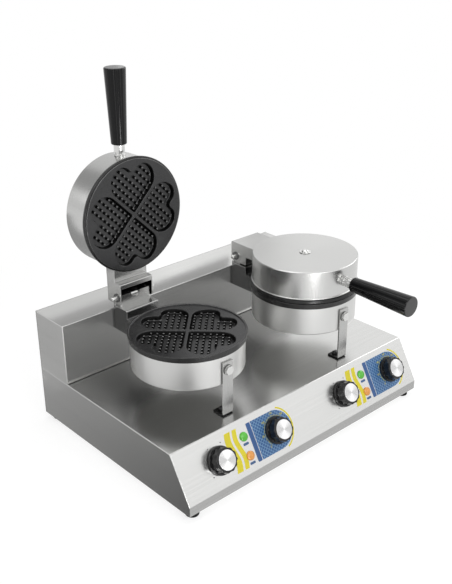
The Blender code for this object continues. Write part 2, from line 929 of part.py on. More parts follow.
def build_lid(side, x, angle):
    """The hinged half of an iron, drawn shut and then swung back on its hinge axis."""
    place = (x, front_y + hinge_y, deck_z + hinge_z)
    hinge = empty(f"{side}_hinge_axis", place, (-angle, 0, 0))
    centre_y = -hinge_reach
    parting = plate_z + gap - place[2]
    pan_low = parting + lid_rim + gap

    inner = pan_radius - pan_wall
    top = lid_pan_height
    profile = [
        (0, top),
        (pan_radius - pan_edge, top),
        (pan_radius, top - pan_edge),
        (pan_radius, lid_bead_height),
        (pan_radius + lid_bead, lid_bead_height / 2),
        (pan_radius, 0),
        (inner, 0),
        (inner, top - pan_wall),
        (0, top - pan_wall),
    ]
    pan = piece(
        f"{side}_lid_housing",
        turned(profile, pan_sides),
        stainless,
        hinge,
        (0, centre_y, pan_low),
    )
    handle_z = handle_height - pan_low + parting + lid_rim
    stud = rod(stem_stud_radius + gap, -overrun, overrun, small_sides)
    screw_hole = rod(stem_stud_radius + gap, -overrun, overrun, small_sides)
    cut(
        pan,
        moved(stud, (0, -pan_radius, handle_z), math.pi / 2),
        moved(screw_hole, (0, 0, top)),
    )

    face = seat_rise
    under = face - recess_depth - floor_thickness
    boss_end = -(lid_rim + gap + top - pan_wall - gap)
    seat_radius = plate_radius - rim_width - seat_clearance
    plate_profile = [
        (0, face),
        (seat_radius, face),
        (seat_radius, 0),
        (plate_radius, 0),
        (plate_radius - plate_draft, -lid_rim),
        (spigot_radius, -lid_rim),
        (spigot_radius, under),
        (0, under),
    ]
    flip = (math.pi, 0, 0)
    name = f"{side}_lid_plate"
    plate = build_plate(name, plate_profile, face, hinge, (0, centre_y, parting), flip)
    unite(plate, rod(boss_radius, boss_end, under + floor_thickness / 2, small_sides))
    screw_end = boss_end + lid_screw_length
    cut(plate, rod(stem_stud_radius + gap, boss_end - overrun, screw_end, small_sides))
    heater_z = parting - under + gap + heater_tube
    element(f"{side}_lid_heater", hinge, (0, centre_y, heater_z), flip)

    outline = filleted(
        [
            (centre_y, bracket_step_z, 0),
            (-bracket_step_y, bracket_step_z, 0),
            (-bracket_step_y, -bracket_bottom, 0),
            (bracket_rear, -bracket_bottom, bracket_corner),
            (bracket_rear, bracket_top, 0),
            (centre_y, bracket_top, 0),
        ]
    )
    name = f"{side}_lid_bracket"
    bracket = piece(name, across(outline, bracket_width), stainless, hinge)
    thick = bracket_sheet
    front = centre_y - overrun
    back = bracket_rear + overrun
    lip = -bracket_step_y + bracket_flange
    hollow = [
        (front, bracket_step_z + thick),
        (-bracket_step_y + thick, bracket_step_z + thick),
        (-bracket_step_y + thick, -bracket_bottom + thick),
        (lip, -bracket_bottom + thick),
        (lip, -bracket_bottom - overrun),
        (back, -bracket_bottom - overrun),
        (back, bracket_top - thick),
        (front, bracket_top - thick),
    ]
    reach = bracket_width / 2 + overrun
    pan_space = rod(pan_radius + gap, pan_low, pan_low + top, pan_sides)
    bore = rod(pivot_radius + gap, -reach, reach, small_sides)
    cut(
        bracket,
        across(hollow, bracket_width - 2 * thick),
        moved(pan_space, (0, centre_y, 0)),
        moved(bore, turn=math.pi / 2, axis="Y"),
    )
    build_handle(side, hinge, centre_y, pan_low + handle_z)
    build_lid_screw(side, hinge, centre_y, pan_low + top)


def build_handle(side, hinge, centre_y, level):
    """The handle: a steel stem bolted through the pan's wall, and a tapered grip on its stud."""
    start = centre_y - pan_radius - gap
    turn = (math.pi / 2, 0, 0)
    facet_sag = stem_nut_radius * math.tan(math.pi / pan_sides)
    nut = -gap - pan_wall - gap - facet_sag
    neck = stem_neck_length
    profile = [
        (0, nut - stem_nut_height),
        (stem_nut_radius, nut - stem_nut_height),
        (stem_nut_radius, nut),
        (stem_stud_radius, nut),
        (stem_stud_radius, 0),
        (stem_radius, 0),
        (stem_radius, neck),
        (stem_neck_radius, neck),
        (stem_neck_radius, 2 * neck),
        (stem_radius, 2 * neck),
        (stem_radius, stem_length),
        (stem_stud_radius, stem_length),
        (stem_stud_radius, stem_length + stem_stud_length),
        (0, stem_length + stem_stud_length),
    ]
    name = f"{side}_handle_stem"
    shape = turned(profile, small_sides)
    piece(name, shape, bright_steel, hinge, (0, start, level), turn)

    bore = stem_stud_radius + gap
    low = stem_length + gap
    high = stem_length + grip_length
    bore_end = stem_length + stem_stud_length + gap
    profile = [
        (0, bore_end),
        (bore, bore_end),
        (bore, low),
        (grip_base_radius - grip_edge, low),
        (grip_base_radius, low + grip_edge),
        (grip_end_radius, high - grip_edge),
        (grip_end_radius - grip_edge, high),
        (0, high),
    ]
    name = f"{side}_handle_grip"
    shape = turned(profile, round_sides)
    piece(name, shape, black_bakelite, hinge, (0, start, level), turn)


def build_lid_screw(side, hinge, centre_y, level):
    """The screw with its washer on top of the lid, which holds the plate by its boss."""
    head_top = gap + lid_screw_washer + lid_screw_head
    profile = [
        (0, -lid_screw_length + pan_wall),
        (stem_stud_radius, -lid_screw_length + pan_wall),
        (stem_stud_radius, gap),
        (lid_screw_radius, gap),
        (lid_screw_radius, gap + lid_screw_washer),
        (lid_screw_head_radius, gap + lid_screw_washer),
        (lid_screw_head_radius, head_top - lid_screw_head / 2),
        (lid_screw_head_radius / 2, head_top),
        (0, head_top),
    ]
    shape = turned(profile, small_sides)
    piece(f"{side}_lid_screw", shape, bright_steel, hinge, (0, centre_y, level))


for thing in list(bpy.data.objects):
    bpy.data.objects.remove(thing, do_unlink=True)
build_base()
build_inlet()
build_panel()
for side, x, angle in (
    ("left", -iron_spacing / 2, open_angle),
    ("right", iron_spacing / 2, 0),
):
    build_lower_iron(side, x)
    build_hinge_block(side, x)
    build_lid(side, x, angle)
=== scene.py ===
"""Looks of the double waffle maker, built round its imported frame, in metres. +X is to the right
of someone standing in front of it and +Y is to the back. The left lid is open, the right shut."""

import json
import math

import bmesh
import bpy
from mathutils import Matrix, Vector


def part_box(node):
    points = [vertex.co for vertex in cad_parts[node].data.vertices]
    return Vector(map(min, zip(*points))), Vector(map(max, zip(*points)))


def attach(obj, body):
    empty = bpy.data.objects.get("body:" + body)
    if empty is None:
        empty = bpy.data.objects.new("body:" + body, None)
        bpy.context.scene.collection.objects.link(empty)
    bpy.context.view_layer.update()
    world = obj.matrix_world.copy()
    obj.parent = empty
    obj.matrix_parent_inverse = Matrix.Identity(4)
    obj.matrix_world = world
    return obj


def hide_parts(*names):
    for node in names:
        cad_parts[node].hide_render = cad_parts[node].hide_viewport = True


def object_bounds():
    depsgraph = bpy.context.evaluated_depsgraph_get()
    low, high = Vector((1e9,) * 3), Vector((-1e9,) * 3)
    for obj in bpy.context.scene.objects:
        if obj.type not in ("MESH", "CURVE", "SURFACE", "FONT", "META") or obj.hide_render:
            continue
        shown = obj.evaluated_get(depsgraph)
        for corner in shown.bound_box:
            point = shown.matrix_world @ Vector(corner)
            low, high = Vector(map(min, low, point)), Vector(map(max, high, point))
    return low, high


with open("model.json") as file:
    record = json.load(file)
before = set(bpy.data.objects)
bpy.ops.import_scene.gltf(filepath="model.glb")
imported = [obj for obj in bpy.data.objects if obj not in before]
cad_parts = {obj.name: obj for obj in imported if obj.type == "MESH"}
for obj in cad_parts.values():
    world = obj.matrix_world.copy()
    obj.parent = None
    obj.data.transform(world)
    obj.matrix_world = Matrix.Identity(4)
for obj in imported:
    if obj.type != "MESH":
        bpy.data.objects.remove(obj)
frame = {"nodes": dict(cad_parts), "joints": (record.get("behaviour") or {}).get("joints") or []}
cad_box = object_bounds()

# Camera: it stands to the left of the front and a little higher than the open lid.
# The lens is given on the long, upright side of the picture.
view_turn = math.radians(-42.237)
view_rise = math.radians(24.772)
view_roll = math.radians(-0.314)
view_target = Vector((0.0792, 0.13615, 0.161))
view_distance = 1.63064

eye = bpy.data.cameras.new("camera")
eye.lens = 54.365
eye.sensor_fit = "VERTICAL"
eye.sensor_height = 36
eye.clip_start = 0.05
camera = bpy.data.objects.new("camera", eye)
level = math.cos(view_rise)
back = Vector((math.sin(view_turn) * level, -math.cos(view_turn) * level, math.sin(view_rise)))
right = Vector((math.cos(view_turn), math.sin(view_turn), 0))
facing = Matrix((right, back.cross(right), back)).transposed()
facing = Matrix.Rotation(view_roll, 3, back) @ facing
camera.matrix_world = Matrix.Translation(view_target + back * view_distance) @ facing.to_4x4()
bpy.context.scene.collection.objects.link(camera)
bpy.context.scene.camera = camera
bpy.context.scene.view_settings.view_transform = "Standard"


# Base housing: one sheet of 1.5 mm stainless steel, folded over the lip, the sloped panel and the
# deck, with a welded cheek at each side. The bends are tight and the grain runs along the folds.
class Link:
    """A node's output in a material. Sums on it add Math nodes."""

    def __init__(self, finish, socket):
        self.finish = finish
        self.socket = socket

    def sum(self, operation, *values):
        return self.finish.node("Math", {"operation": operation}, dict(enumerate(values)))

    def __add__(self, other):
        return self.sum("ADD", self, other)

    def __sub__(self, other):
        return self.sum("SUBTRACT", self, other)

    def __rsub__(self, other):
        return self.sum("SUBTRACT", other, self)

    def __mul__(self, other):
        return self.sum("MULTIPLY", self, other)

    def __truediv__(self, other):
        return self.sum("DIVIDE", self, other)

    def __gt__(self, other):
        return self.sum("GREATER_THAN", self, other)

    def __lt__(self, other):
        return self.sum("LESS_THAN", self, other)

    def __abs__(self):
        return self.sum("ABSOLUTE", self)

    def sine(self):
        return self.sum("SINE", self)

    def larger(self, other):
        return self.sum("MAXIMUM", self, other)

    __radd__ = __add__
    __rmul__ = __mul__


class Finish:
    """A material, and the record's slot that it stands for."""

    def __init__(self, name, slot, constants):
        self.slot = slot
        self.material = bpy.data.materials.new(name)
        self.material.use_nodes = True
        self.tree = self.material.node_tree
        self.shader = self.tree.nodes["Principled BSDF"]
        for socket, value in constants.items():
            self.set(socket, value)

    def feed(self, socket, value):
        if isinstance(value, Link):
            self.tree.links.new(value.socket, socket)
        elif socket.type == "RGBA":
            socket.default_value = (*value[:3], 1)
        else:
            socket.default_value = value

    def set(self, name, value):
        self.feed(self.shader.inputs[name], value)

    def node(self, kind, settings, sockets, output=0):
        made = self.tree.nodes.new("ShaderNode" + kind)
        for name, value in settings.items():
            setattr(made, name, value)
        for name, value in sockets.items():
            found = [s for s in made.inputs if s.enabled]
            if isinstance(name, str):
                found = [s for s in found if s.name == name]
                name = 0
            self.feed(found[name], value)
        shown = [s for s in made.outputs if s.enabled]
        if isinstance(output, str):
            shown = [s for s in shown if s.name == output]
            output = 0
        return Link(self, shown[output])

    def place(self, scale=(1, 1, 1)):
        """The point that is shaded, in the piece's own frame, stretched by the scale."""
        spot = self.node("TexCoord", {}, {}, "Object")
        return self.node("Mapping", {}, {"Vector": spot, "Scale": scale})

    def axis(self, index):
        """One coordinate of the point that is shaded: 0 for X, 1 for Y and 2 for Z."""
        return self.node("SeparateXYZ", {}, {0: self.place()}, index)

    def radius(self):
        """The distance of the point that is shaded from the piece's own Z axis."""
        flat = self.place((1, 1, 0))
        return self.node("VectorMath", {"operation": "LENGTH"}, {0: flat}, "Value")

    def noise(self, place, scale, detail=3, roughness=0.5):
        sockets = {"Vector": place, "Scale": scale, "Detail": detail, "Roughness": roughness}
        return self.node("TexNoise", {}, sockets)

    def spread(self, value, low, high, to_low, to_high):
        names = ("Value", "From Min", "From Max", "To Min", "To Max")
        sockets = dict(zip(names, (value, low, high, to_low, to_high)))
        return self.node("MapRange", {}, sockets)

    def mixed(self, factor, first, second):
        sockets = {"Factor": factor, "A": first, "B": second}
        return self.node("Mix", {"data_type": "RGBA"}, sockets)

    def bump(self, height, depth):
        self.set("Normal", self.node("Bump", {}, {"Height": height, "Distance": depth}))


def filleted(corners, steps=6):
    """An outline through (x, y, fillet radius) corners, with an arc at each fillet."""
    outline = []
    for index, (x, y, radius) in enumerate(corners):
        corner = Vector((x, y))
        if not radius:
            outline.append(corner)
            continue
        before = (Vector(corners[index - 1][:2]) - corner).normalized()
        after = (Vector(corners[(index + 1) % len(corners)][:2]) - corner).normalized()
        half = before.angle(after) / 2
        middle = corner + (before + after).normalized() * radius / math.sin(half)
        spoke = corner + before * radius / math.tan(half) - middle
        sweep = math.copysign(math.pi - 2 * half, after.cross(before))
        for step in range(steps + 1):
            outline.append(middle + Matrix.Rotation(sweep * step / steps, 2) @ spoke)
    return outline


def lofted(sections, capped=True):
    """A skin through (outline, height) sections, whose outlines have equally many points."""
    shape = bmesh.new()
    rings = [[shape.verts.new((*point, height)) for point in outline]
             for outline, height in sections]
    for ring, following in zip(rings, rings[1:]):
        for index in range(len(ring)):
            shape.faces.new((ring[index - 1], ring[index], following[index], following[index - 1]))
    if capped:
        shape.faces.new(rings[0])
        shape.faces.new(rings[-1])
    return shape


def moved(shape, place=(0, 0, 0), turn=0.0, axis="X"):
    matrix = Matrix.Translation(place) @ Matrix.Rotation(turn, 4, axis)
    bmesh.ops.transform(shape, matrix=matrix, verts=shape.verts)
    return shape


def across(outline, low, high):
    """An outline of (y, z) points drawn out along X from low to high."""
    shape = lofted([(outline, low), (outline, high)])
    side_on = Matrix(((0, 0, 1, 0), (1, 0, 0, 0), (0, 1, 0, 0), (0, 0, 0, 1)))
    bmesh.ops.transform(shape, matrix=side_on, verts=shape.verts)
    return shape


def eased(shape, width, steps=2, crease=25):
    """The shape with its sharp edges rounded off."""
    bmesh.ops.recalc_face_normals(shape, faces=shape.faces)
    sharp = [e for e in shape.edges
             if e.is_manifold and e.calc_face_angle() > math.radians(crease)]
    bmesh.ops.bevel(shape, geom=sharp, offset=width, segments=steps, profile=0.5,
                    affect="EDGES", clamp_overlap=True)
    return shape


def turned(profile, sides=96):
    """A turned piece about Z from (radius, height) points. It is closed if they start and end
    on the axis, and otherwise they are the section of a ring."""
    shape = bmesh.new()
    rings = []
    for radius, height in profile:
        spots = [(0, 0, height)]
        if radius > 0:
            angles = [math.tau * step / sides for step in range(sides)]
            spots = [(radius * math.cos(a), radius * math.sin(a), height) for a in angles]
        rings.append([shape.verts.new(spot) for spot in spots])
    pairs = list(zip(rings, rings[1:]))
    if len(rings[0]) > 1 and len(rings[-1]) > 1:
        pairs.append((rings[-1], rings[0]))
    for ring, following in pairs:
        for index in range(sides):
            corners = [ring[index - 1], ring[index % len(ring)]] if len(ring) > 1 else ring[:]
            if len(following) > 1:
                corners += [following[index], following[index - 1]]
            else:
                corners += following
            shape.faces.new(corners)
    return shape


def worked(shape, *steps):
    """The shape after modifiers, each given as its kind and its settings."""
    mesh = bpy.data.meshes.new("worked")
    bmesh.ops.recalc_face_normals(shape, faces=shape.faces)
    shape.to_mesh(mesh)
    shape.free()
    made = bpy.data.objects.new("worked", mesh)
    bpy.context.scene.collection.objects.link(made)
    for kind, settings in steps:
        modifier = made.modifiers.new(kind, kind)
        for name, value in settings.items():
            setattr(modifier, name, value)
    result = bmesh.new()
    result.from_object(made, bpy.context.evaluated_depsgraph_get())
    bpy.data.objects.remove(made)
    return result


def carved(shape, *cutters):
    """The shape with the cutters taken out of it."""
    for cutter in cutters:
        mesh = bpy.data.meshes.new("cutter")
        bmesh.ops.recalc_face_normals(cutter, faces=cutter.faces)
        cutter.to_mesh(mesh)
        cutter.free()
        tool = bpy.data.objects.new("cutter", mesh)
        bpy.context.scene.collection.objects.link(tool)
        settings = {"operation": "DIFFERENCE", "solver": "EXACT", "object": tool}
        shape = worked(shape, ("BOOLEAN", settings))
        bpy.data.objects.remove(tool)
    bmesh.ops.dissolve_limit(shape, angle_limit=math.radians(0.5), verts=shape.verts,
                             edges=shape.edges)
    return shape


def dress(node, finish):
    """Gives a node of the frame its finish."""
    mesh = frame["nodes"][node].data
    mesh.materials.clear()
    mesh.materials.append(finish.material)


def shown(name, shape, finish, body, *nodes, at=Matrix(), crease=32):
    """A finished piece that rides on a body and stands for some nodes of the frame."""
    bmesh.ops.remove_doubles(shape, verts=shape.verts, dist=0.000002)
    bmesh.ops.recalc_face_normals(shape, faces=shape.faces)
    mesh = bpy.data.meshes.new(name)
    shape.to_mesh(mesh)
    shape.free()
    mesh.shade_smooth()
    mesh.set_sharp_from_angle(angle=math.radians(crease))
    mesh.materials.append(finish.material)
    made = bpy.data.objects.new(name, mesh)
    made.matrix_world = at
    bpy.context.scene.collection.objects.link(made)
    made.modifiers.new("even", "WEIGHTED_NORMAL").keep_sharp = True
    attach(made, body)
    if nodes:
        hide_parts(*nodes)
    return made


def brushed(name, grain, tone=0.64, low=0.22, high=0.27, slot="stainless"):
    """Brushed sheet whose grain runs along one axis, and along Y on faces that look sideways."""
    steel = Finish(name, slot, {"Metallic": 1.0})
    across_grain = {"X": (3, 520, 520), "Y": (520, 3, 520), "Z": (520, 520, 3)}[grain]
    lines = steel.noise(steel.place(across_grain), 1, 3, 0.55)
    looks = steel.node("SeparateXYZ", {}, {0: steel.node("TexCoord", {}, {}, "Normal")})
    sideways = abs(looks) > 0.7
    side_lines = steel.noise(steel.place((520, 3, 520)), 1, 3, 0.55)
    lines = lines + (side_lines - lines) * sideways
    cloud = steel.noise(steel.place(), 7, 2)
    pale = [tone, tone, tone * 0.985]
    steel.set("Base Color", steel.mixed(
        steel.spread(lines, 0.3, 0.7, 0, 1), [value * 0.945 for value in pale], pale))
    steel.set("Roughness", steel.spread(lines * 0.2 + cloud * 0.8, 0.35, 0.65, low, high))
    return steel


sheet_steel = brushed("sheet_steel", "X")
sheet = 0.0015
bend = 0.0022
lip_height = 0.016
slope_run = 0.042
housing_low, housing_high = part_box("base_shell")
front_y = housing_low.y
deck_z = housing_high.z

skin = across(
    filleted(
        [
            (housing_high.y, housing_low.z, 0),
            (housing_high.y, deck_z, 0),
            (front_y + slope_run, deck_z, bend),
            (front_y, housing_low.z + lip_height, bend),
            (front_y, housing_low.z, 0),
        ]
    ),
    housing_low.x,
    housing_high.x,
)
bmesh.ops.recalc_face_normals(skin, faces=skin.faces)
open_sides = [f for f in skin.faces if f.normal.z < -0.9 or f.normal.y > 0.9]
bmesh.ops.delete(skin, geom=open_sides, context="FACES")
skin = eased(skin, 0.0013, 3, 60)
shown(
    "base_housing",
    worked(skin, ("SOLIDIFY", {"thickness": sheet, "offset": -1, "use_even_offset": True})),
    sheet_steel,
    "base",
    "base_shell",
)


# Rear box: a folded steel box that stands on the deck behind the irons and carries the hinges.
# The back panel with its cooling slots and the floor of the base are flat sheets.
box_low, box_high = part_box("rear_box")
skin = lofted(
    [
        (
            [(box_low.x, box_low.y), (box_high.x, box_low.y), (box_high.x, box_high.y),
             (box_low.x, box_high.y)],
            height,
        )
        for height in (box_low.z, box_high.z)
    ]
)
bmesh.ops.recalc_face_normals(skin, faces=skin.faces)
open_sides = [f for f in skin.faces if f.normal.z < -0.9 or f.normal.y > 0.9]
bmesh.ops.delete(skin, geom=open_sides, context="FACES")
skin = eased(skin, 0.0014, 3, 60)
shown(
    "rear_box_skin",
    worked(skin, ("SOLIDIFY", {"thickness": sheet, "offset": -1, "use_even_offset": True})),
    brushed("box_steel", "X", 0.69),
    "base",
    "rear_box",
)
# Painted shade: a thin dark strip lies on the deck along the foot of the rear box, where the joint
# is in shadow. It is no real bead.
gap_shade = Finish("painted_gap_shade", None, {"Roughness": 0.7})
gap_shade.set("Base Color", gap_shade.mixed(gap_shade.noise(gap_shade.place(), 300), [0.010] * 3, [0.022] * 3))
gap_shade_width = 0.0011
gap_shade_line = [
    (box_low.y - gap_shade_width, deck_z),
    (box_low.y, deck_z),
    (box_low.y, deck_z + gap_shade_width),
]
shown("rear_box_gap_shade", across(gap_shade_line, box_low.x + bend, box_high.x - bend), gap_shade, "base")
dress("back_panel", sheet_steel)
dress("bottom_plate", sheet_steel)


# Feet: four moulded rubber feet, each held by a screw in its hollow, with a rounded rim.
rubber = Finish("foot_rubber", "rubber", {"Specular IOR Level": 0.25})
grime = rubber.noise(rubber.place(), 350, 4)
rubber.set("Base Color", rubber.mixed(grime, [0.004, 0.004, 0.004], [0.010, 0.010, 0.010]))
rubber.set("Roughness", rubber.spread(grime, 0.3, 0.7, 0.62, 0.85))
rubber.bump(grime, 0.00008)
foot_hollow = 0.0045
for place in ("front_left", "front_right", "rear_left", "rear_right"):
    low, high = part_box(f"foot_{place}")
    radius = (high.x - low.x) / 2
    height = high.z - low.z
    profile = filleted(
        [
            (0, height * 0.4, 0),
            (foot_hollow, height * 0.4, 0),
            (foot_hollow, 0, 0.0008),
            (radius, 0, 0.0016),
            (radius * 0.84, height, 0),
            (0, height, 0),
        ],
        4,
    )
    middle = (low + high) / 2
    middle.z = low.z
    shown(f"rubber_foot_{place}", turned(profile, 48), rubber, "base", f"foot_{place}",
          at=Matrix.Translation(middle))


# Cable gland: a nylon bush with a ribbed nut, screwed through the back panel. Behind it, inside
# the base, the mains wires end in a block of glazed ceramic.
nylon = Finish("gland_nylon", "nylon", {"Specular IOR Level": 0.4})
grain = nylon.noise(nylon.place(), 900, 3)
nylon.set("Base Color", nylon.mixed(grain, [0.014, 0.014, 0.014], [0.026, 0.026, 0.026]))
nylon.set("Roughness", nylon.spread(grain, 0.3, 0.7, 0.42, 0.56))
nylon.bump(grain, 0.00003)
gland_radius = 0.011
gland_nut_radius = 0.014
gland_nut = 0.005
gland_bore = 0.0045
nut_ribs = 12
low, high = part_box("cable_gland")
back_low, back_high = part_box("back_panel")
outlet = Vector(((low.x + high.x) / 2, back_high.y, (low.z + high.z) / 2))
outward = Matrix.Translation(outlet) @ Matrix.Rotation(-math.pi / 2, 4, "X")
reach = high.y - back_high.y
inside = back_high.y - low.y
profile = filleted(
    [
        (gland_bore, reach, 0.0012),
        (gland_bore, -inside, 0),
        (gland_radius, -inside, 0),
        (gland_radius, reach, 0.003),
    ],
    5,
)
shown("gland_bush", turned(profile, 64), nylon, "base", "cable_gland", at=outward)


def ribbed(radius, ribs, depth, points=8):
    """A round outline whose edge is scalloped into ribs."""
    outline = []
    for index in range(ribs * points):
        angle = math.tau * index / (ribs * points)
        hollow = math.sqrt(math.cos(angle * ribs / 2) ** 2 + 0.02)
        reach = radius - depth * hollow
        outline.append((reach * math.cos(angle), reach * math.sin(angle)))
    return outline


nut_edge = 0.0006
sections = [
    (ribbed(gland_radius + 0.0001, nut_ribs, 0), 0.0003),
    (ribbed(gland_nut_radius - nut_edge, nut_ribs, 0.0007), 0.0003),
    (ribbed(gland_nut_radius, nut_ribs, 0.0007), nut_edge),
    (ribbed(gland_nut_radius, nut_ribs, 0.0007), gland_nut - nut_edge),
    (ribbed(gland_nut_radius - nut_edge, nut_ribs, 0.0007), gland_nut),
    (ribbed(gland_radius + 0.0001, nut_ribs, 0), gland_nut),
]
shown("gland_nut", lofted(sections + sections[:1], False), nylon, "base", at=outward)

ceramic = Finish("switch_ceramic", "ceramic", {})
chalk = ceramic.noise(ceramic.place(), 220, 4)
ceramic.set("Base Color", ceramic.mixed(chalk, [0.55, 0.52, 0.46], [0.68, 0.65, 0.59]))
ceramic.set("Roughness", ceramic.spread(chalk, 0.3, 0.7, 0.5, 0.7))
dress("terminal_block", ceramic)


# Switches: a timer and a thermostat for each iron, held behind the sloped panel by their bushes,
# with a steel spindle that carries the knob.
bright = Finish("bright_steel", "bright_steel", {"Metallic": 1.0})
shine = bright.noise(bright.place(), 120, 3)
bright.set("Base Color", bright.mixed(shine, [0.60, 0.60, 0.59], [0.70, 0.70, 0.69]))
bright.set("Roughness", bright.spread(shine, 0.3, 0.7, 0.17, 0.25))
controls = [f"{side}_{kind}" for side in ("left", "right") for kind in ("timer", "thermostat")]
for control in controls:
    dress(f"{control}_body", ceramic)
    dress(f"{control}_spindle", bright)


# Panel print: a screen print of the scales and fields of colour, in its own plane on the slope.
# It is a thin film of ink on the steel, laid out about each thermostat and its two lamps.
slope_angle = math.atan2(deck_z - housing_low.z - lip_height, slope_run)
panel = Matrix.Translation((0, front_y, housing_low.z + lip_height))
panel = panel @ Matrix.Rotation(slope_angle, 4, "X")
control_rise = 0.041
power_lamp_rise = 0.056
heat_lamp_rise = 0.025
film = 0.00012


def middle_x(node):
    low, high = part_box(node)
    return (low.x + high.x) / 2


def ink(name, colour, second=None, pitch=0.0022):
    """A printed colour, with a second one in fine slanting lines if it is given."""
    made = Finish(name, None, {"Specular IOR Level": 0.5, "Coat Weight": 0.2})
    wear = made.noise(made.place(), 420, 3)
    darker = [value * 0.9 for value in colour]
    base = made.mixed(wear, darker, colour)
    if second:
        lines = math.tau / pitch / math.sqrt(2)
        up = (made.axis(0) + made.axis(1)) * lines
        down = (made.axis(0) - made.axis(1)) * lines
        base = made.mixed(up.sine().larger(down.sine()) > 0.86, base, second)
    made.set("Base Color", base)
    made.set("Roughness", made.spread(wear, 0.3, 0.7, 0.32, 0.45))
    return made


def join(*shapes):
    whole = bmesh.new()
    for shape in shapes:
        mesh = bpy.data.meshes.new("join")
        shape.to_mesh(mesh)
        shape.free()
        whole.from_mesh(mesh)
        bpy.data.meshes.remove(mesh)
    return whole


def printed(name, outlines, finish, spot=(0, 0), layer=1):
    """Films of ink on the panel, about a spot that is given along X and up the slope."""
    films = []
    for outline in outlines:
        points = [Vector(point[:2]) + Vector(spot) for point in outline]
        films.append(lofted([(points, film * (layer - 0.75)), (points, film * layer)]))
    return shown(name, join(*films), finish, "base", at=panel)


def bar(low_x, high_x, low, high, radius):
    corners = [(low_x, low), (high_x, low), (high_x, high), (low_x, high)]
    return filleted([(*corner, radius) for corner in corners])


def arc_band(radius, width, start, end, steps=48):
    """A band along part of a circle. Angles are in degrees, clockwise from straight up."""
    angles = [math.radians(90 - start - (end - start) * step / steps) for step in range(steps + 1)]
    outer = [((radius + width) * math.cos(a), (radius + width) * math.sin(a)) for a in angles]
    inner = [(radius * math.cos(a), radius * math.sin(a)) for a in reversed(angles)]
    return outer + inner


def dot(radius, place, points=24):
    angles = [math.tau * step / points for step in range(points)]
    return [(place[0] + radius * math.cos(a), place[1] + radius * math.sin(a)) for a in angles]


def wave(middle, width, swing, low, high, steps=40):
    """An upright band that swings from side to side, with its ends cut straight."""
    heights = [low + (high - low) * step / steps for step in range(steps + 1)]
    sway = [middle + swing * math.sin(math.tau * (h - low) / (high - low)) for h in heights]
    edge = [(x - width / 2, h) for x, h in zip(sway, heights)]
    return edge + [(x + width / 2, h) for x, h in reversed(list(zip(sway, heights)))]


def spoke(angle, start, end, width):
    """A tick that points away from the dial's middle, at an angle clockwise from straight up."""
    turn = Matrix.Rotation(math.radians(-angle), 2)
    corners = [(-width / 2, start), (width / 2, start), (width / 2, end), (-width / 2, end)]
    return [turn @ Vector(corner) for corner in corners]


def numerals(name, texts, size, radius, start, end, finish, spot, layer):
    """Plain numbers along part of a circle, upright on the panel."""
    shapes = []
    for index, word in enumerate(texts):
        angle = math.radians(start + (end - start) * index / (len(texts) - 1))
        curve = bpy.data.curves.new(name, "FONT")
        curve.body = word
        curve.size = size
        curve.align_x = "CENTER"
        curve.align_y = "CENTER"
        curve.extrude = film / 4
        written = bpy.data.objects.new(name, curve)
        bpy.context.scene.collection.objects.link(written)
        ready = written.evaluated_get(bpy.context.evaluated_depsgraph_get())
        shape = bmesh.new()
        shape.from_mesh(ready.to_mesh())
        bpy.data.objects.remove(written)
        place = (spot[0] + radius * math.sin(angle), spot[1] + radius * math.cos(angle),
                 film * layer)
        shapes.append(moved(shape, place))
    return shown(name, join(*shapes), finish, "base", at=panel)


deep_blue = ink("blue_ink", [0.022, 0.105, 0.32])
lattice_blue = ink("blue_lattice_ink", [0.022, 0.115, 0.34], [0.20, 0.40, 0.62], 0.0046)
yellow = ink("yellow_ink", [0.93, 0.80, 0.008])
grey = ink("grey_ink", [0.055, 0.06, 0.075])
label_blue = ink("label_ink", [0.05, 0.13, 0.31])
field_radius = 0.0335
field_half = 0.0315
scale_radius = 0.0246
numbers = ("0", "50", "100", "150", "200", "250", "300")
for side in ("left", "right"):
    dial_x = middle_x(f"{side}_thermostat_knob")
    lamp_x = middle_x(f"{side}_power_lamp")
    timer_x = middle_x(f"{side}_timer_knob")
    dial = (dial_x, control_rise)
    left_edge = lamp_x - dial_x + 0.0205
    tab = bar(left_edge - 0.0096, left_edge - 0.0011, -field_half, field_half, 0.0016)
    printed(f"{side}_dial_tab", [tab], deep_blue, dial)
    round_end = [math.radians(90 - 180 * step / 32) for step in range(33)]
    field = [(left_edge, field_half), (left_edge, -field_half)]
    field += [(field_radius * math.cos(a), field_half * math.sin(a)) for a in reversed(round_end)]
    printed(f"{side}_dial_field", [field], lattice_blue, dial)
    printed(f"{side}_dial_rim", [arc_band(field_radius + 0.0006, 0.0026, 22, 158)], yellow, dial)
    ticks = [spoke(angle, scale_radius - 0.0008, scale_radius + 0.0006, 0.0005)
             for angle in range(-135, 136, 15)]
    printed(f"{side}_dial_scale", [arc_band(scale_radius - 0.0012, 0.0004, -135, 135), *ticks],
            yellow, dial, 2)
    numerals(f"{side}_dial_numbers", numbers, 0.0046, scale_radius + 0.0036, -135, 135, yellow,
             dial, 2)
    waves = [wave(lamp_x - 0.0275, 0.0118, 0.0030, 0.009, 0.073),
             wave(lamp_x - 0.0132, 0.0085, 0.0030, 0.009, 0.073)]
    printed(f"{side}_yellow_waves", waves, yellow)
    labels = [bar(lamp_x - 0.0055, lamp_x + 0.0055, rise - 0.0138, rise - 0.0098, 0.0018)
              for rise in (power_lamp_rise, heat_lamp_rise)]
    printed(f"{side}_lamp_labels", labels, label_blue)
    spots = [dot(0.0010, (0.027 * math.cos(a), 0.027 * math.sin(a)))
             for a in map(math.radians, (63, 119.5, 223.7))]
    printed(f"{side}_timer_dots", spots, grey, (timer_x, control_rise))


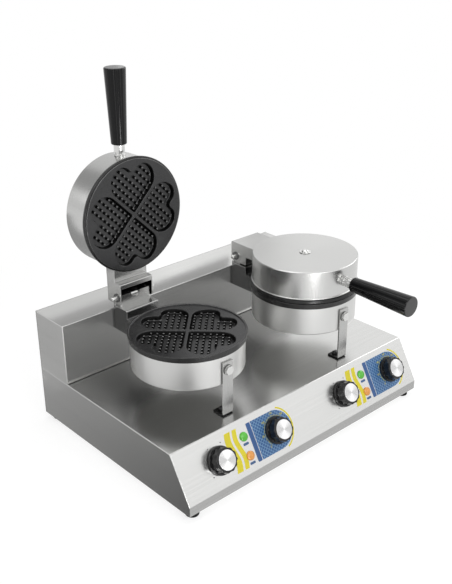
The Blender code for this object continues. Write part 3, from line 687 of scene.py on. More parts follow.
# Knobs: black moulded caps with twelve scallops over a round skirt, each closed by a disc of
# spun aluminium. They are pressed on the spindles and turn with them.
bakelite = Finish("black_bakelite", "bakelite", {"Specular IOR Level": 0.42})
swirl = bakelite.noise(bakelite.place(), 300, 4)
bakelite.set("Base Color", bakelite.mixed(swirl, [0.005, 0.005, 0.0055], [0.009, 0.009, 0.0095]))
bakelite.set("Roughness", bakelite.spread(swirl, 0.3, 0.7, 0.10, 0.17))
spun = Finish("spun_aluminium", "aluminium", {"Metallic": 1.0, "Anisotropic": 0.75})
# Painted highlight: each disc is painted pale along a fixed line across it and darker away from it,
# as the sheen of spun metal. The fine rings are turning marks.
spot = spun.place((1, 1, 0))
from_axis = spun.radius()
rings = spun.node("TexNoise", {"noise_dimensions": "1D"},
                  {"W": from_axis, "Scale": 5200, "Detail": 2})
painted_highlight_line = (0.35, 0.94, 0)
side_on = spun.node("VectorMath", {"operation": "DOT_PRODUCT"}, {0: spot, 1: painted_highlight_line}, "Value")
painted_sheen = spun.spread(abs(side_on) / (from_axis + 0.0001), 0.35, 0.95, 0.45, 0.86)
spun.set("Base Color", spun.mixed(rings * 0.2 + painted_sheen * 0.8, [0.20, 0.20, 0.20], [1, 1, 1]))
spun.set("Roughness", spun.spread(rings, 0.3, 0.7, 0.20, 0.34))
spun.bump(rings, 0.000006)
knob_skirt = 0.0225
knob_top = 0.0205
knob_lift = 0.0008
skirt_height = 0.005
knob_height = 0.0198
cap_radius = 0.0155
cap_height = 0.0012
scallop = 0.0015
scallops = 12
for control in controls:
    at = panel @ Matrix.Translation((middle_x(f"{control}_knob"), control_rise, 0))
    edge = 0.0009
    sections = [
        (ribbed(knob_skirt - edge / 2, scallops, 0), knob_lift),
        (ribbed(knob_skirt, scallops, 0), knob_lift + edge / 2),
        (ribbed(knob_skirt, scallops, 0), skirt_height - edge),
        (ribbed(knob_skirt - edge * 0.3, scallops, 0), skirt_height - edge * 0.3),
        (ribbed(knob_skirt - edge, scallops, 0), skirt_height),
        (ribbed(knob_top + edge / 3, scallops, scallop), skirt_height),
        (ribbed(knob_top, scallops, scallop), skirt_height + edge / 3),
        (ribbed(knob_top - edge / 2, scallops, scallop), knob_height - edge),
        (ribbed(knob_top - edge * 0.8, scallops, scallop), knob_height - edge * 0.3),
        (ribbed(knob_top - edge * 1.5, scallops, scallop), knob_height),
    ]
    shown(f"{control}_grip", lofted(sections), bakelite, f"{control}_dial", f"{control}_knob",
          at=at)
    profile = filleted(
        [
            (0, knob_height, 0),
            (cap_radius, knob_height, 0),
            (cap_radius, knob_height + cap_height, 0.0005),
            (0, knob_height + cap_height - 0.0001, 0),
        ],
        4,
    )
    shown(f"{control}_disc", turned(profile), spun, f"{control}_dial", f"{control}_cap", at=at)


# Pilot lamps: a green one for the mains and an orange one for the heat, domed lenses of
# moulded plastic that are pushed into the panel.
def lens(name, slot, dark, light):
    made = Finish(name, slot, {"Coat Weight": 0.6, "Coat Roughness": 0.05})
    depth = made.node("LayerWeight", {}, {"Blend": 0.35}, "Facing")
    made.set("Base Color", made.mixed(depth, light, dark))
    made.set("Roughness", made.spread(made.noise(made.place(), 300), 0.3, 0.7, 0.15, 0.28))
    made.set("Emission Color", light)
    made.set("Emission Strength", 0.12)
    return made


lamp_radius = 0.0075
lamp_rise = 0.0035
lamp_stem = 0.0055
lamp_depth = 0.016
lamp_gap = 0.0003
lamps = {
    "power_lamp": (lens("green_lens", "green_lens", [0.03, 0.30, 0.01], [0.09, 0.55, 0.02]),
                   power_lamp_rise),
    "heat_lamp": (lens("orange_lens", "orange_lens", [0.62, 0.19, 0.025], [0.86, 0.36, 0.06]),
                  heat_lamp_rise),
}
for side in ("left", "right"):
    for kind, (finish, rise) in lamps.items():
        node = f"{side}_{kind}"
        rim = 0.0008
        arc = [math.radians(90 * step / 8) for step in range(9)]
        profile = [(0, -lamp_depth), (lamp_stem, -lamp_depth), (lamp_stem, lamp_gap)]
        profile += [(lamp_radius, lamp_gap)]
        profile += [(lamp_radius * math.cos(a), rim + (lamp_rise - rim) * math.sin(a)) for a in arc]
        profile[-1] = (0, lamp_rise)
        at = panel @ Matrix.Translation((middle_x(node), rise, 0))
        shown(f"{node}_lens", turned(profile, 48), finish, "base", node, at=at)


# Lower pans: spun stainless pans that stand over the deck on their legs and hinge blocks. The
# turning marks run round them.
def spun_steel(name, tone=0.64, low=0.22, high=0.27):
    steel = Finish(name, "stainless", {"Metallic": 1.0, "Anisotropic": 0.5})
    marks = steel.node("TexNoise", {"noise_dimensions": "1D"},
                       {"W": steel.radius() + steel.axis(2), "Scale": 2600, "Detail": 4})
    cloud = steel.noise(steel.place((6, 6, 40)), 1, 2)
    pale = [tone, tone, tone * 0.985]
    steel.set("Base Color", steel.mixed(
        steel.spread(marks, 0.3, 0.7, 0, 1), [value * 0.975 for value in pale], pale))
    blend = marks * 0.3 + cloud * 0.7
    steel.set("Roughness", steel.spread(blend, 0.35, 0.65, low + 0.01, high - 0.015))
    return steel


pan_steel = spun_steel("pan_steel", 0.62, 0.31, 0.36)
pan_wall = 0.002
pan_corner = 0.0025
joints = {joint["name"]: joint for joint in frame["joints"]}
irons = {}
hinges = {}
open_angle = math.radians(joints["right_lid_hinge"]["range_deg"][1])
for side in ("left", "right"):
    low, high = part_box(f"{side}_lower_housing")
    irons[side] = Vector(((low.x + high.x) / 2, (low.y + high.y) / 2, low.z))
    hinges[side] = Matrix.Translation(joints[f"{side}_lid_hinge"]["pos_m"])
    pan_radius = (high.x - low.x) / 2
    pan_height = high.z - low.z
    profile = filleted(
        [
            (0, 0, 0),
            (pan_radius, 0, pan_corner),
            (pan_radius, pan_height, 0.0004),
            (pan_radius - pan_wall, pan_height, 0.0004),
            (pan_radius - pan_wall, pan_wall, 0.001),
            (0, pan_wall, 0),
        ],
        5,
    )
    shown(f"{side}_lower_pan", turned(profile, 160), pan_steel, "base", f"{side}_lower_housing",
          at=Matrix.Translation(irons[side]))
lids = {
    "left": hinges["left"] @ Matrix.Rotation(-open_angle, 4, "X"),
    "right": hinges["right"],
}


# Cast plates: round plates of coated cast iron with four hearts between crossed ribs, and a
# square grid of blunt pins in each heart. A lip on the lower plate seats the upper one.
lip_rise = 0.0018
seat_rise = 0.0015
recess_depth = 0.008
pin_height = 0.0056
plate_radius = 0.095
plate_draft = 0.0012
lower_rim = 0.0095
lid_rim = 0.0060
rim_width = 0.003
seat_gap = 0.0005
floor_thickness = 0.007
edge_glint_width = 0.0007


def coated_iron(name, face, step, edge_shade_tone):
    """Dark coated iron with painted light: the sides of the hearts and pins are painted dark as
    shade, the tops of the pins pale as painted glints, and a thin ring just inside the round step,
    which is given by its radius, pale as a painted edge highlight. Past the step the edge has a
    flat tone of painted shade."""
    iron = Finish(name, "coated_iron", {"Metallic": 0.6})
    pores = iron.noise(iron.place(), 1400, 3)
    patches = iron.noise(iron.place(), 45, 3)
    height = iron.axis(2)
    upward = iron.node("SeparateXYZ", {}, {0: iron.node("TexCoord", {}, {}, "Normal")}, 2) > 0.6
    floor = face - recess_depth
    # Painted shade: faces that don't look up, the walls of the hearts and the sides of the pins,
    # are set nearly black.
    hearts = iron.mixed(upward, [0.008, 0.008, 0.008], [0.050, 0.050, 0.051])
    # Painted highlight: the tops of the pins are set pale, as glints.
    pin_glint = (height > floor + pin_height - 0.0008) * upward
    hearts = iron.mixed(pin_glint, hearts, [0.15, 0.15, 0.15])
    coating = iron.mixed(patches, [0.044, 0.044, 0.045], [0.058, 0.058, 0.059])
    colour = iron.mixed(height > face - 0.0015, hearts, coating)
    radius = iron.radius()
    # Painted shade: past the step the edge takes a flat dark tone.
    colour = iron.mixed(radius > step, colour, [edge_shade_tone] * 3)
    # Painted highlight: a thin pale ring just inside the step, along the edge.
    colour = iron.mixed((radius > step - edge_glint_width) * (radius < step), colour, [0.14] * 3)
    iron.set("Base Color", colour)
    iron.set("Roughness", iron.spread(pores * 0.5 + patches * 0.5, 0.35, 0.65, 0.24, 0.34))
    iron.bump(pores, 0.00001)
    return iron


lower_iron = coated_iron("lower_iron", -lip_rise, plate_radius - rim_width + edge_glint_width, 0.046)
upper_iron = coated_iron("upper_iron", seat_rise, plate_radius - rim_width - seat_gap, 0.030)
rib_width = 0.005
heart_length = 0.0745
heart_lobe = 0.046
heart_shoulder_radius = 0.026
heart_lobe_radius = 0.018
heart_notch_radius = 0.006
heart_point_radius = 0.003
heart_draft = 0.0015
rib_edge = 0.0008
floor_corner = 0.0012
pin_pitch = 0.00985
pin_first = 0.0074
pin_root = 0.0047
pin_top = 0.0029
pin_edge = 0.0004
pins_along = 7
pins_across = 4
spigot_radius = pan_radius - pan_wall - 0.0003


def heart(inset):
    near = rib_width / 2 + inset
    far = rib_width / 2 + heart_length - inset
    side = rib_width / 2 + heart_lobe - inset
    return filleted(
        [
            (near, near, heart_point_radius),
            (far, near, heart_shoulder_radius - inset),
            (far, side, heart_lobe_radius - inset),
            (side, side, heart_notch_radius + inset),
            (side, far, heart_lobe_radius - inset),
            (near, far, heart_shoulder_radius - inset),
        ],
        10,
    )


def pin_outline(x, y, half, corner):
    sides = [(x - half, y - half), (x + half, y - half), (x + half, y + half), (x - half, y + half)]
    return filleted([(*side, corner) for side in sides], 1)


def waffle_plate(profile, face):
    """A plate from its outer profile, which ends at the flat face round the hearts."""
    plate = turned([*profile, (0, face)], 160)
    centre = min(plate.verts, key=lambda v: (v.co.xy.length, -v.co.z))
    bmesh.ops.delete(plate, geom=[centre], context="VERTS")
    rims = [edge for edge in plate.edges if edge.is_boundary]
    floor = face - recess_depth
    walls = []
    for step in range(5):
        angle = math.radians(90 * step / 4)
        rise = rib_edge * (1 - math.cos(angle))
        walls.append((heart(rib_edge * (math.sin(angle) - 1)), face - rise))
    for step in range(5):
        angle = math.radians(90 * step / 4)
        inset = heart_draft + floor_corner * (1 - math.cos(angle))
        walls.append((heart(inset), floor + floor_corner * (1 - math.sin(angle))))
    for quarter in range(4):
        turn = Matrix.Rotation((quarter + 0.5) * math.pi / 2, 2)
        rings = [[plate.verts.new((*(turn @ point), height)) for point in outline]
                 for outline, height in walls]
        for ring, following in zip(rings, rings[1:]):
            for index in range(len(ring)):
                plate.faces.new(
                    (ring[index - 1], ring[index], following[index], following[index - 1]))
        plate.faces.new(rings[-1])
        rims += [plate.edges.get((rings[0][index - 1], rings[0][index]))
                 for index in range(len(rings[0]))]
        last = pins_along - 1
        for row in range(pins_along):
            for column in range(pins_along):
                past_notch = row >= pins_across and column >= pins_across
                if past_notch or (row, column) in ((0, last), (last, 0)):
                    continue
                x = pin_first + row * pin_pitch
                y = pin_first + column * pin_pitch
                pin = [
                    (pin_outline(x, y, pin_root / 2, pin_edge), floor - 0.0003),
                    (pin_outline(x, y, pin_root / 2, pin_edge), floor),
                    (pin_outline(x, y, pin_top / 2, pin_edge), floor + pin_height - pin_edge),
                    (pin_outline(x, y, pin_top / 2 - pin_edge, pin_edge / 2), floor + pin_height),
                ]
                stack = [[plate.verts.new((*(turn @ Vector(point)), height)) for point in outline]
                         for outline, height in pin]
                for ring, following in zip(stack, stack[1:]):
                    for index in range(len(ring)):
                        plate.faces.new(
                            (ring[index - 1], ring[index], following[index], following[index - 1]))
                plate.faces.new(stack[0])
                plate.faces.new(stack[-1])
    bmesh.ops.triangle_fill(plate, use_beauty=True, edges=rims)
    return plate


for side in ("left", "right"):
    under = -lip_rise - recess_depth - floor_thickness
    inner = plate_radius - rim_width
    profile = filleted(
        [
            (0, under, 0),
            (spigot_radius, under, 0),
            (spigot_radius, -lower_rim, 0),
            (plate_radius - plate_draft, -lower_rim, 0.0008),
            (plate_radius, 0, 0.0008),
            (inner, 0, 0.0006),
            (inner, -lip_rise, 0.0005),
            (inner - 0.002, -lip_rise, 0),
        ],
        4,
    )
    low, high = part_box(f"{side}_lower_plate")
    top = Vector((irons[side].x, irons[side].y, high.z))
    shown(f"{side}_lower_mould", waffle_plate(profile, -lip_rise), lower_iron, "base",
          f"{side}_lower_plate", at=Matrix.Translation(top))
    dress(f"{side}_lower_heater", bright)
    dress(f"{side}_lid_heater", bright)


# Legs: one strip of 2.5 mm steel under the front of each iron, folded at the deck into a foot.
# A hexagon bolt goes through it into the pan and a domed nut holds the foot down.
leg_sheet = 0.0025
leg_bend = 0.003


def painted_shade(steel, where, tone):
    """The steel with painted shade: a darker tone where the mask is set."""
    plain = Link(steel, steel.shader.inputs["Base Color"].links[0].from_socket)
    steel.set("Base Color", steel.mixed(where, plain, [tone] * 3))


# Painted shade: the leg steel is set a lower tone than the housing's, and its foot on the deck
# nearly black.
leg_steel = brushed("leg_steel", "Z", 0.47)
foot_top = deck_z + leg_sheet + 0.0008
foot_shade_mask = leg_steel.axis(2) < foot_top
painted_shade(leg_steel, foot_shade_mask, 0.05)
# The leg nuts are given a dark steel tone, mottled at random.
dark_nut_steel = Finish("dark_nut_finish", "stainless", {"Metallic": 1.0})
nut_mottle = dark_nut_steel.noise(dark_nut_steel.place(), 500, 3)
dark_nut_steel.set("Base Color", dark_nut_steel.mixed(nut_mottle, [0.05, 0.05, 0.05], [0.13, 0.13, 0.13]))
dark_nut_steel.set("Roughness", dark_nut_steel.spread(nut_mottle, 0.3, 0.7, 0.24, 0.36))
leg_nut = 0.0055
leg_nut_y = 0.0155


def bolt_steel(name, head):
    """Bright steel for a bolt that is turned about Z. Past its head the washer is painted dark, as
    shade.
    """
    steel = Finish(name, "bright_steel", {"Metallic": 1.0})
    mottle = steel.noise(steel.place(), 120, 3)
    polished = steel.mixed(mottle, [0.60, 0.60, 0.59], [0.70, 0.70, 0.69])
    # Painted shade: the ring past the head is set dark.
    steel.set("Base Color", steel.mixed(steel.radius() > head, polished, [0.16] * 3))
    steel.set("Roughness", steel.spread(mottle, 0.3, 0.7, 0.17, 0.25))
    return steel


def hexagon(radius, low, high, edge, turn=0.0):
    """A hexagon head whose top corners are turned down to a cone."""
    corners = [(radius * math.cos(a), radius * math.sin(a))
               for a in (turn + math.tau * step / 6 for step in range(6))]
    head = eased(lofted([(corners, low), (corners, high)]), edge / 3, 2)
    wide = radius * 1.3
    cone = turned([(radius * 0.87, high + edge), (wide, high + edge), (wide, high - edge * 3)], 48)
    return carved(head, cone)


leg_bolt = 0.0078
leg_bolt_washer = 0.0085
leg_washer = 0.0011
leg_nut_flat = 0.0028
leg_dome = 0.0043
leg_dome_rise = 0.0042
bolt_edge = 0.0006
touch = 0.0003
leg_bolt_steel = bolt_steel("leg_bolt_steel", leg_bolt + 0.0001)
for side in ("left", "right"):
    low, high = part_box(f"{side}_leg")
    iron = irons[side]
    outline = filleted(
        [
            (low.y, low.z, leg_bend),
            (high.y, low.z, 0),
            (high.y, low.z + leg_sheet, 0),
            (low.y + leg_sheet, low.z + leg_sheet, leg_bend - leg_sheet),
            (low.y + leg_sheet, high.z, 0),
            (low.y, high.z, 0),
        ]
    )
    shown(f"{side}_leg_strip", eased(across(outline, low.x, high.x), 0.0003, 2, 50), leg_steel,
          "base", f"{side}_leg")
    dome = filleted(
        [
            (0, leg_sheet, 0),
            (leg_dome, leg_sheet, 0),
            (leg_dome, leg_sheet + leg_dome_rise, 0.0022),
            (0, leg_sheet + leg_dome_rise, 0),
        ]
    )
    nut = join(hexagon(leg_nut, leg_sheet, leg_sheet + leg_nut_flat, 0.0004), turned(dome, 32))
    moved(nut, (iron.x, low.y + leg_nut_y, low.z))
    shown(f"{side}_leg_nut", nut, dark_nut_steel, "base")
    face = low.y - touch
    low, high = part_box(f"{side}_leg_bolt")
    out = Matrix.Translation((iron.x, face, (low.z + high.z) / 2))
    washer = filleted(
        [
            (0, 0, 0),
            (leg_bolt_washer, 0, 0.0002),
            (leg_bolt_washer, leg_washer, 0.0004),
            (0, leg_washer, 0),
        ],
        3,
    )
    bolt = join(turned(washer, 64), hexagon(leg_bolt, leg_washer, face - low.y, bolt_edge))
    shown(f"{side}_leg_screw", bolt, leg_bolt_steel, "base", f"{side}_leg_bolt",
          at=out @ Matrix.Rotation(math.pi / 2, 4, "X"))


# Hinge blocks: folded steel boxes that stand between each lower pan and the rear box. Two ears
# rise from the ledge and carry the hinge bolt; the shoulders behind them stop the lid.
low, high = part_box("left_hinge_block")
hinge_y = hinges["left"].translation.y
hinge_z = hinges["left"].translation.z
block_low = low - hinges["left"].translation
block_high = high - hinges["left"].translation
block_sheet = 0.002
block_ledge = 0.0154
block_step = 0.0300
stop_height = 0.0032
stop_length = 0.0048
bracket_width = 0.0658
bracket_sheet = 0.002
bracket_step_y = 0.0262
bracket_step_z = 0.0033
bracket_top = 0.0256
bracket_rear = 0.0119
bracket_bottom = 0.0116
bracket_corner = 0.008
bracket_flange = 0.0087
ear_sheet = 0.0025
ear_front = 0.0073
ear_rear = 0.0075
ear_rise = 0.0055
ear_play = 0.0005
ear_notch = 0.009
hinge_bolt = 0.004
pin_washer_radius = 0.0074
pin_washer = 0.0013
hinge_nut = 0.0075
fold = 0.0025
cut_past = 0.004
pin_steel = bolt_steel("pin_steel", hinge_bolt + 0.0002)
# Painted shade: the hinge steel is set a lower tone than the housing's, and darker still below the
# ledge.
hinge_steel = brushed("hinge_steel", "X", 0.50)
under_ledge_shade = hinge_steel.axis(2) < -block_ledge - 0.001
painted_shade(hinge_steel, under_ledge_shade, 0.24)
pan_y = irons["left"].y - hinge_y
half = (block_high.x - block_low.x) / 2
wall = half - block_sheet
for side in ("left", "right"):
    front = block_low.y - cut_past
    rear = block_high.y
    outline = filleted(
        [
            (front, block_low.z, 0),
            (rear, block_low.z, 0),
            (rear, stop_height - block_ledge, 0),
            (rear - stop_length, stop_height - block_ledge, 0),
            (rear - stop_length, -block_ledge, 0),
            (-bracket_step_y, -block_ledge, fold),
            (-bracket_step_y, -block_step, 0.001),
            (front, -block_step, 0),
        ]
    )
    hollow = [
        (front - cut_past, block_low.z + block_sheet),
        (rear + cut_past, block_low.z + block_sheet),
        (rear + cut_past, -block_ledge - block_sheet),
        (-bracket_step_y + block_sheet, -block_ledge - block_sheet),
        (-bracket_step_y + block_sheet, -block_step - block_sheet),
        (front - cut_past, -block_step - block_sheet),
    ]
    between = [
        (rear - stop_length - 0.0003, -block_ledge),
        (rear + cut_past, -block_ledge),
        (rear + cut_past, stop_height),
        (rear - stop_length - 0.0003, stop_height),
    ]
    pan = moved(turned([(0, block_low.z - cut_past), (pan_radius + 0.0003, block_low.z - cut_past),
                        (pan_radius + 0.0003, cut_past), (0, cut_past)], 160), (0, pan_y, 0))
    box = eased(across(outline, -half, half), 0.0007, 3, 50)
    box = carved(box, across(hollow, -wall, wall), across(between, -wall, wall), pan)
    shown(f"{side}_hinge_box", box, hinge_steel, "base", f"{side}_hinge_block", at=hinges[side])
    outer = bracket_width / 2 - bracket_sheet - ear_play
    web = ear_sheet - ear_front
    ears = filleted(
        [
            (-outer, ear_rear, 0),
            (-outer, -ear_front, 0.0022),
            (outer, -ear_front, 0.0022),
            (outer, ear_rear, 0),
            (outer - ear_sheet, ear_rear, 0),
            (outer - ear_sheet, web, 0.0005),
            (ear_sheet - outer, web, 0.0005),
            (ear_sheet - outer, ear_rear, 0),
        ]
    )
    ears = lofted([(ears, -block_ledge - block_sheet / 2), (ears, ear_rise)])
    notch = moved(turned([(0, -cut_past), (ear_notch, -cut_past), (ear_notch, cut_past),
                          (0, cut_past)], 96), (0, -ear_front, ear_rise), math.pi / 2)
    bore = moved(turned([(0, -half), (hinge_bolt + 0.0003, -half), (hinge_bolt + 0.0003, half),
                         (0, half)], 48), turn=math.pi / 2, axis="Y")
    shown(f"{side}_hinge_ears", carved(ears, notch, bore), hinge_steel, "base", at=hinges[side])

    low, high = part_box(f"{side}_hinge_pin")
    start = hinges[side].translation.x - bracket_width / 2 - 0.0003
    reach = start - high.x
    outline = filleted(
        [
            (0, start - low.x, 0),
            (hinge_bolt, start - low.x, 0.0026),
            (hinge_bolt, pin_washer, 0.0002),
            (pin_washer_radius, pin_washer, 0.0004),
            (pin_washer_radius, 0, 0.0003),
            (hinge_bolt, 0, 0),
            (hinge_bolt, reach, 0.0006),
            (0, reach, 0),
        ]
    )
    out = Matrix.Translation((start, hinge_y, hinge_z)) @ Matrix.Rotation(-math.pi / 2, 4, "Y")
    shown(f"{side}_hinge_bolt", turned(outline, 64), pin_steel, "base", f"{side}_hinge_pin", at=out)
    low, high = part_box(f"{side}_hinge_nut")
    out = Matrix.Translation((low.x, hinge_y, hinge_z)) @ Matrix.Rotation(math.pi / 2, 4, "Y")
    nut = hexagon(hinge_nut, 0, high.x - low.x, bolt_edge)
    bolt = hinge_bolt + 0.0001
    bore = turned([(0, -0.002), (bolt, -0.002), (bolt, 0.012), (0, 0.012)], 48)
    shown(f"{side}_hinge_locknut", carved(nut, bore), bright, "base", f"{side}_hinge_nut", at=out)


# Lid pans: deeper spun pans with a bead rolled at the mouth and a flat top, which carry the
# upper plates. They are drawn shut about the hinge bolt, and the left one is swung back.
lid_pan_height = 0.0496
bead = 0.0012
bead_height = 0.0026
pan_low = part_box("right_lid_housing")[0].z - hinge_z
lid_steel = spun_steel("lid_steel", 0.57, 0.24, 0.29)
plate_level = pan_low - lid_rim - touch
for side in ("left", "right"):
    body = f"{side}_lid"
    top = lid_pan_height
    inner = pan_radius - pan_wall
    profile = filleted(
        [
            (0, top, 0),
            (pan_radius, top, 0.0022),
            (pan_radius, bead_height, 0.0003),
            (pan_radius + bead, bead_height * 0.92, 0.0010),
            (pan_radius + bead, 0, 0.0011),
            (inner, 0, 0.0004),
            (inner, top - pan_wall, 0),
            (0, top - pan_wall, 0),
        ],
        5,
    )
    at = lids[side] @ Matrix.Translation((0, pan_y, pan_low))
    shown(f"{side}_lid_pan", turned(profile, 160), lid_steel, body, f"{side}_lid_housing", at=at)
    under = seat_rise - recess_depth - floor_thickness
    seat = plate_radius - rim_width - seat_gap
    profile = filleted(
        [
            (0, under, 0),
            (spigot_radius, under, 0),
            (spigot_radius, -lid_rim, 0),
            (plate_radius - plate_draft, -lid_rim, 0.0008),
            (plate_radius, 0, 0.0016),
            (seat, 0, 0.0004),
            (seat, seat_rise, 0.0006),
            (seat - 0.002, seat_rise, 0),
        ],
        4,
    )
    at = lids[side] @ Matrix.Translation((0, pan_y, plate_level)) @ Matrix.Rotation(math.pi, 4, "X")
    shown(f"{side}_upper_mould", waffle_plate(profile, seat_rise), upper_iron, body,
          f"{side}_lid_plate", at=at)


# Lid brackets: folded steel channels that are welded to the lid pans and swing on the hinge
# bolts. The front is open towards the pan and the bottom towards the ears. The inside is painted
# nearly black as shade, and the steel is set a lower tone than the housing's, also as painted
# shade.
bracket_steel = brushed("bracket_steel", "X", 0.54)
# Painted shade: the inside of the channel is set nearly black.
x, y, z = (bracket_steel.axis(index) for index in range(3))
past_step = (y > bracket_sheet / 2 - bracket_step_y).larger(z > bracket_step_z + bracket_sheet / 2)
inside = (abs(x) < bracket_width / 2 - bracket_sheet * 0.75) * (z < bracket_top - bracket_sheet / 2)
inside = inside * past_step * (z > bracket_sheet / 2 - bracket_bottom)
painted_shade(bracket_steel, inside, 0.034)
for side in ("left", "right"):
    outline = filleted(
        [
            (pan_y, bracket_step_z, 0),
            (-bracket_step_y, bracket_step_z, 0.001),
            (-bracket_step_y, -bracket_bottom, 0.002),
            (bracket_rear, -bracket_bottom, bracket_corner),
            (bracket_rear, bracket_top, 0.0015),
            (pan_y, bracket_top, 0),
        ]
    )
    width = bracket_width / 2
    thick = bracket_sheet
    lip = bracket_flange - bracket_step_y
    hollow = [
        (pan_y - cut_past, bracket_step_z + thick),
        (thick - bracket_step_y, bracket_step_z + thick),
        (thick - bracket_step_y, thick - bracket_bottom),
        (lip, thick - bracket_bottom),
        (lip, -bracket_bottom - cut_past),
        (bracket_rear + cut_past, -bracket_bottom - cut_past),
        (bracket_rear + cut_past, bracket_top - thick),
        (pan_y - cut_past, bracket_top - thick),
    ]
    clear = pan_radius + touch
    pan_top = pan_low + lid_pan_height
    pan = [(0, pan_low), (clear, pan_low), (clear, pan_top), (0, pan_top)]
    bore = moved(turned([(0, -half), (hinge_bolt + 0.0003, -half), (hinge_bolt + 0.0003, half),
                         (0, half)], 48), turn=math.pi / 2, axis="Y")
    channel = carved(
        eased(across(outline, -width, width), 0.0007, 3, 50),
        across(hollow, thick - width, width - thick),
        moved(turned(pan, 160), (0, pan_y, 0)),
        bore,
    )
    shown(f"{side}_bracket", channel, bracket_steel, f"{side}_lid", f"{side}_lid_bracket",
          at=lids[side])


# Lid screws: a broad washer and a low domed head on top of each lid, which draw the plate's
# boss up into the pan.
screw_washer = 0.010
screw_washer_top = 0.0015
screw_head = 0.006
screw_side = 0.0032
screw_crown = 0.0050
screw_dimple = 0.0036
for side in ("left", "right"):
    at = lids[side] @ Matrix.Translation((0, pan_y, pan_low + lid_pan_height))
    washer = filleted(
        [
            (0, touch, 0),
            (screw_washer, touch, 0.0003),
            (screw_washer, screw_washer_top, 0.0005),
            (0, screw_washer_top, 0),
        ],
        4,
    )
    dome = filleted(
        [
            (0, screw_washer_top, 0),
            (screw_head, screw_washer_top, 0),
            (screw_head, screw_side, 0.0009),
            (0.0022, screw_crown, 0.0008),
            (0.0018, screw_dimple, 0.0003),
            (0, screw_dimple, 0),
        ],
        4,
    )
    shown(f"{side}_lid_stud", join(turned(washer, 64), turned(dome, 64)), bright, f"{side}_lid",
          f"{side}_lid_screw", at=at)


# Handles: a turned steel ferrule with a neck, bolted through the pan, and a tapered grip of
# moulded bakelite with a flat end.
stem_length = 0.018
stem_radius = 0.00875
neck_radius = 0.0065
neck = 0.003
grip_length = 0.1185
grip_base = 0.0125
grip_end = 0.01725
handle = Finish("handle_bakelite", "bakelite", {"Specular IOR Level": 0.22})
round_it = handle.node("VectorMath", {"operation": "NORMALIZE"}, {0: handle.place((1, 1, 0))})
# Painted highlight: pale lengthwise streaks round the grip, and the flat end painted lighter as
# lit.
streak_highlights = handle.spread(handle.noise(round_it, 9, 5, 0.7), 0.50, 0.68, 0, 1)
lit_end_face = handle.axis(2) > stem_length + grip_length - 0.0006
shell = handle.mixed(streak_highlights * streak_highlights, [0.004, 0.004, 0.0045], [0.125, 0.125, 0.125])
handle.set("Base Color", handle.mixed(lit_end_face, shell, [0.085, 0.085, 0.085]))
handle.set("Roughness", handle.spread(streak_highlights, 0, 1, 0.12, 0.24))
for side in ("left", "right"):
    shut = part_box("right_handle_grip")
    level = (shut[0].z + shut[1].z) / 2 - hinge_z
    start = pan_y - pan_radius - 0.0003
    at = lids[side] @ Matrix.Translation((0, start, level)) @ Matrix.Rotation(math.pi / 2, 4, "X")
    profile = filleted(
        [
            (0, -0.0002, 0),
            (stem_radius, -0.0002, 0),
            (stem_radius, neck, 0.0005),
            (neck_radius, neck, 0.0004),
            (neck_radius, 2 * neck, 0.0004),
            (stem_radius, 2 * neck, 0.0005),
            (stem_radius, stem_length, 0.0006),
            (0, stem_length, 0),
        ],
        4,
    )
    shown(f"{side}_ferrule", turned(profile, 64), bright, f"{side}_lid", f"{side}_handle_stem",
          at=at)
    low = stem_length + 0.0003
    high = stem_length + grip_length
    profile = filleted(
        [
            (0, low, 0),
            (grip_base, low, 0.0018),
            (grip_end, high, 0.0022),
            (0, high, 0),
        ],
        6,
    )
    shown(f"{side}_grip", turned(profile, 96), handle, f"{side}_lid", f"{side}_handle_grip",
          at=at)


# Studio: a pale floor that fades into a white surround, with large soft lamps all round and over
# the top. Grey and white cards stand about the set for the metal to mirror.
floor_finish = Finish("floor_paint", None, {})
floor_mesh = bpy.data.meshes.new("floor")
shape = bmesh.new()
bmesh.ops.create_grid(shape, x_segments=2, y_segments=2, size=8)
shape.to_mesh(floor_mesh)
shape.free()
floor_mesh.materials.append(floor_finish.material)
floor = bpy.data.objects.new("floor", floor_mesh)
floor.location.z = cad_box[0].z - 0.0002
bpy.context.scene.collection.objects.link(floor)
floor_finish.set("Base Color", [0.8, 0.8, 0.8])
floor_finish.set("Roughness", 0.6)
floor_finish.set("Specular IOR Level", 0.1)
rays = [floor_finish.node("LightPath", {}, {}, name)
        for name in ("Is Camera Ray", "Is Glossy Ray", "Is Transmission Ray")]
seen = rays[0].larger(rays[1]).larger(rays[2])
floor_finish.set("Emission Color", [1, 1, 1])
glow = floor_finish.node("Emission", {}, {"Color": [1, 1, 1], "Strength": 0.74})
white = floor_finish.node("Emission", {}, {"Color": [1, 1, 1], "Strength": 1.0})
paint = floor_finish.node("BsdfDiffuse", {}, {"Color": [0.4, 0.4, 0.4]})
far_off = floor_finish.spread(floor_finish.radius(), 0.45, 0.85, 0, 1)
near_floor = floor_finish.node("AddShader", {}, {0: glow, 1: paint})
sight = floor_finish.node("MixShader", {}, {0: far_off, 1: near_floor, 2: white})
lit = Link(floor_finish, floor_finish.shader.outputs[0])
chosen = floor_finish.node("MixShader", {}, {0: seen, 1: lit, 2: sight})
tree = floor_finish.tree
tree.links.new(chosen.socket, tree.nodes["Material Output"].inputs["Surface"])

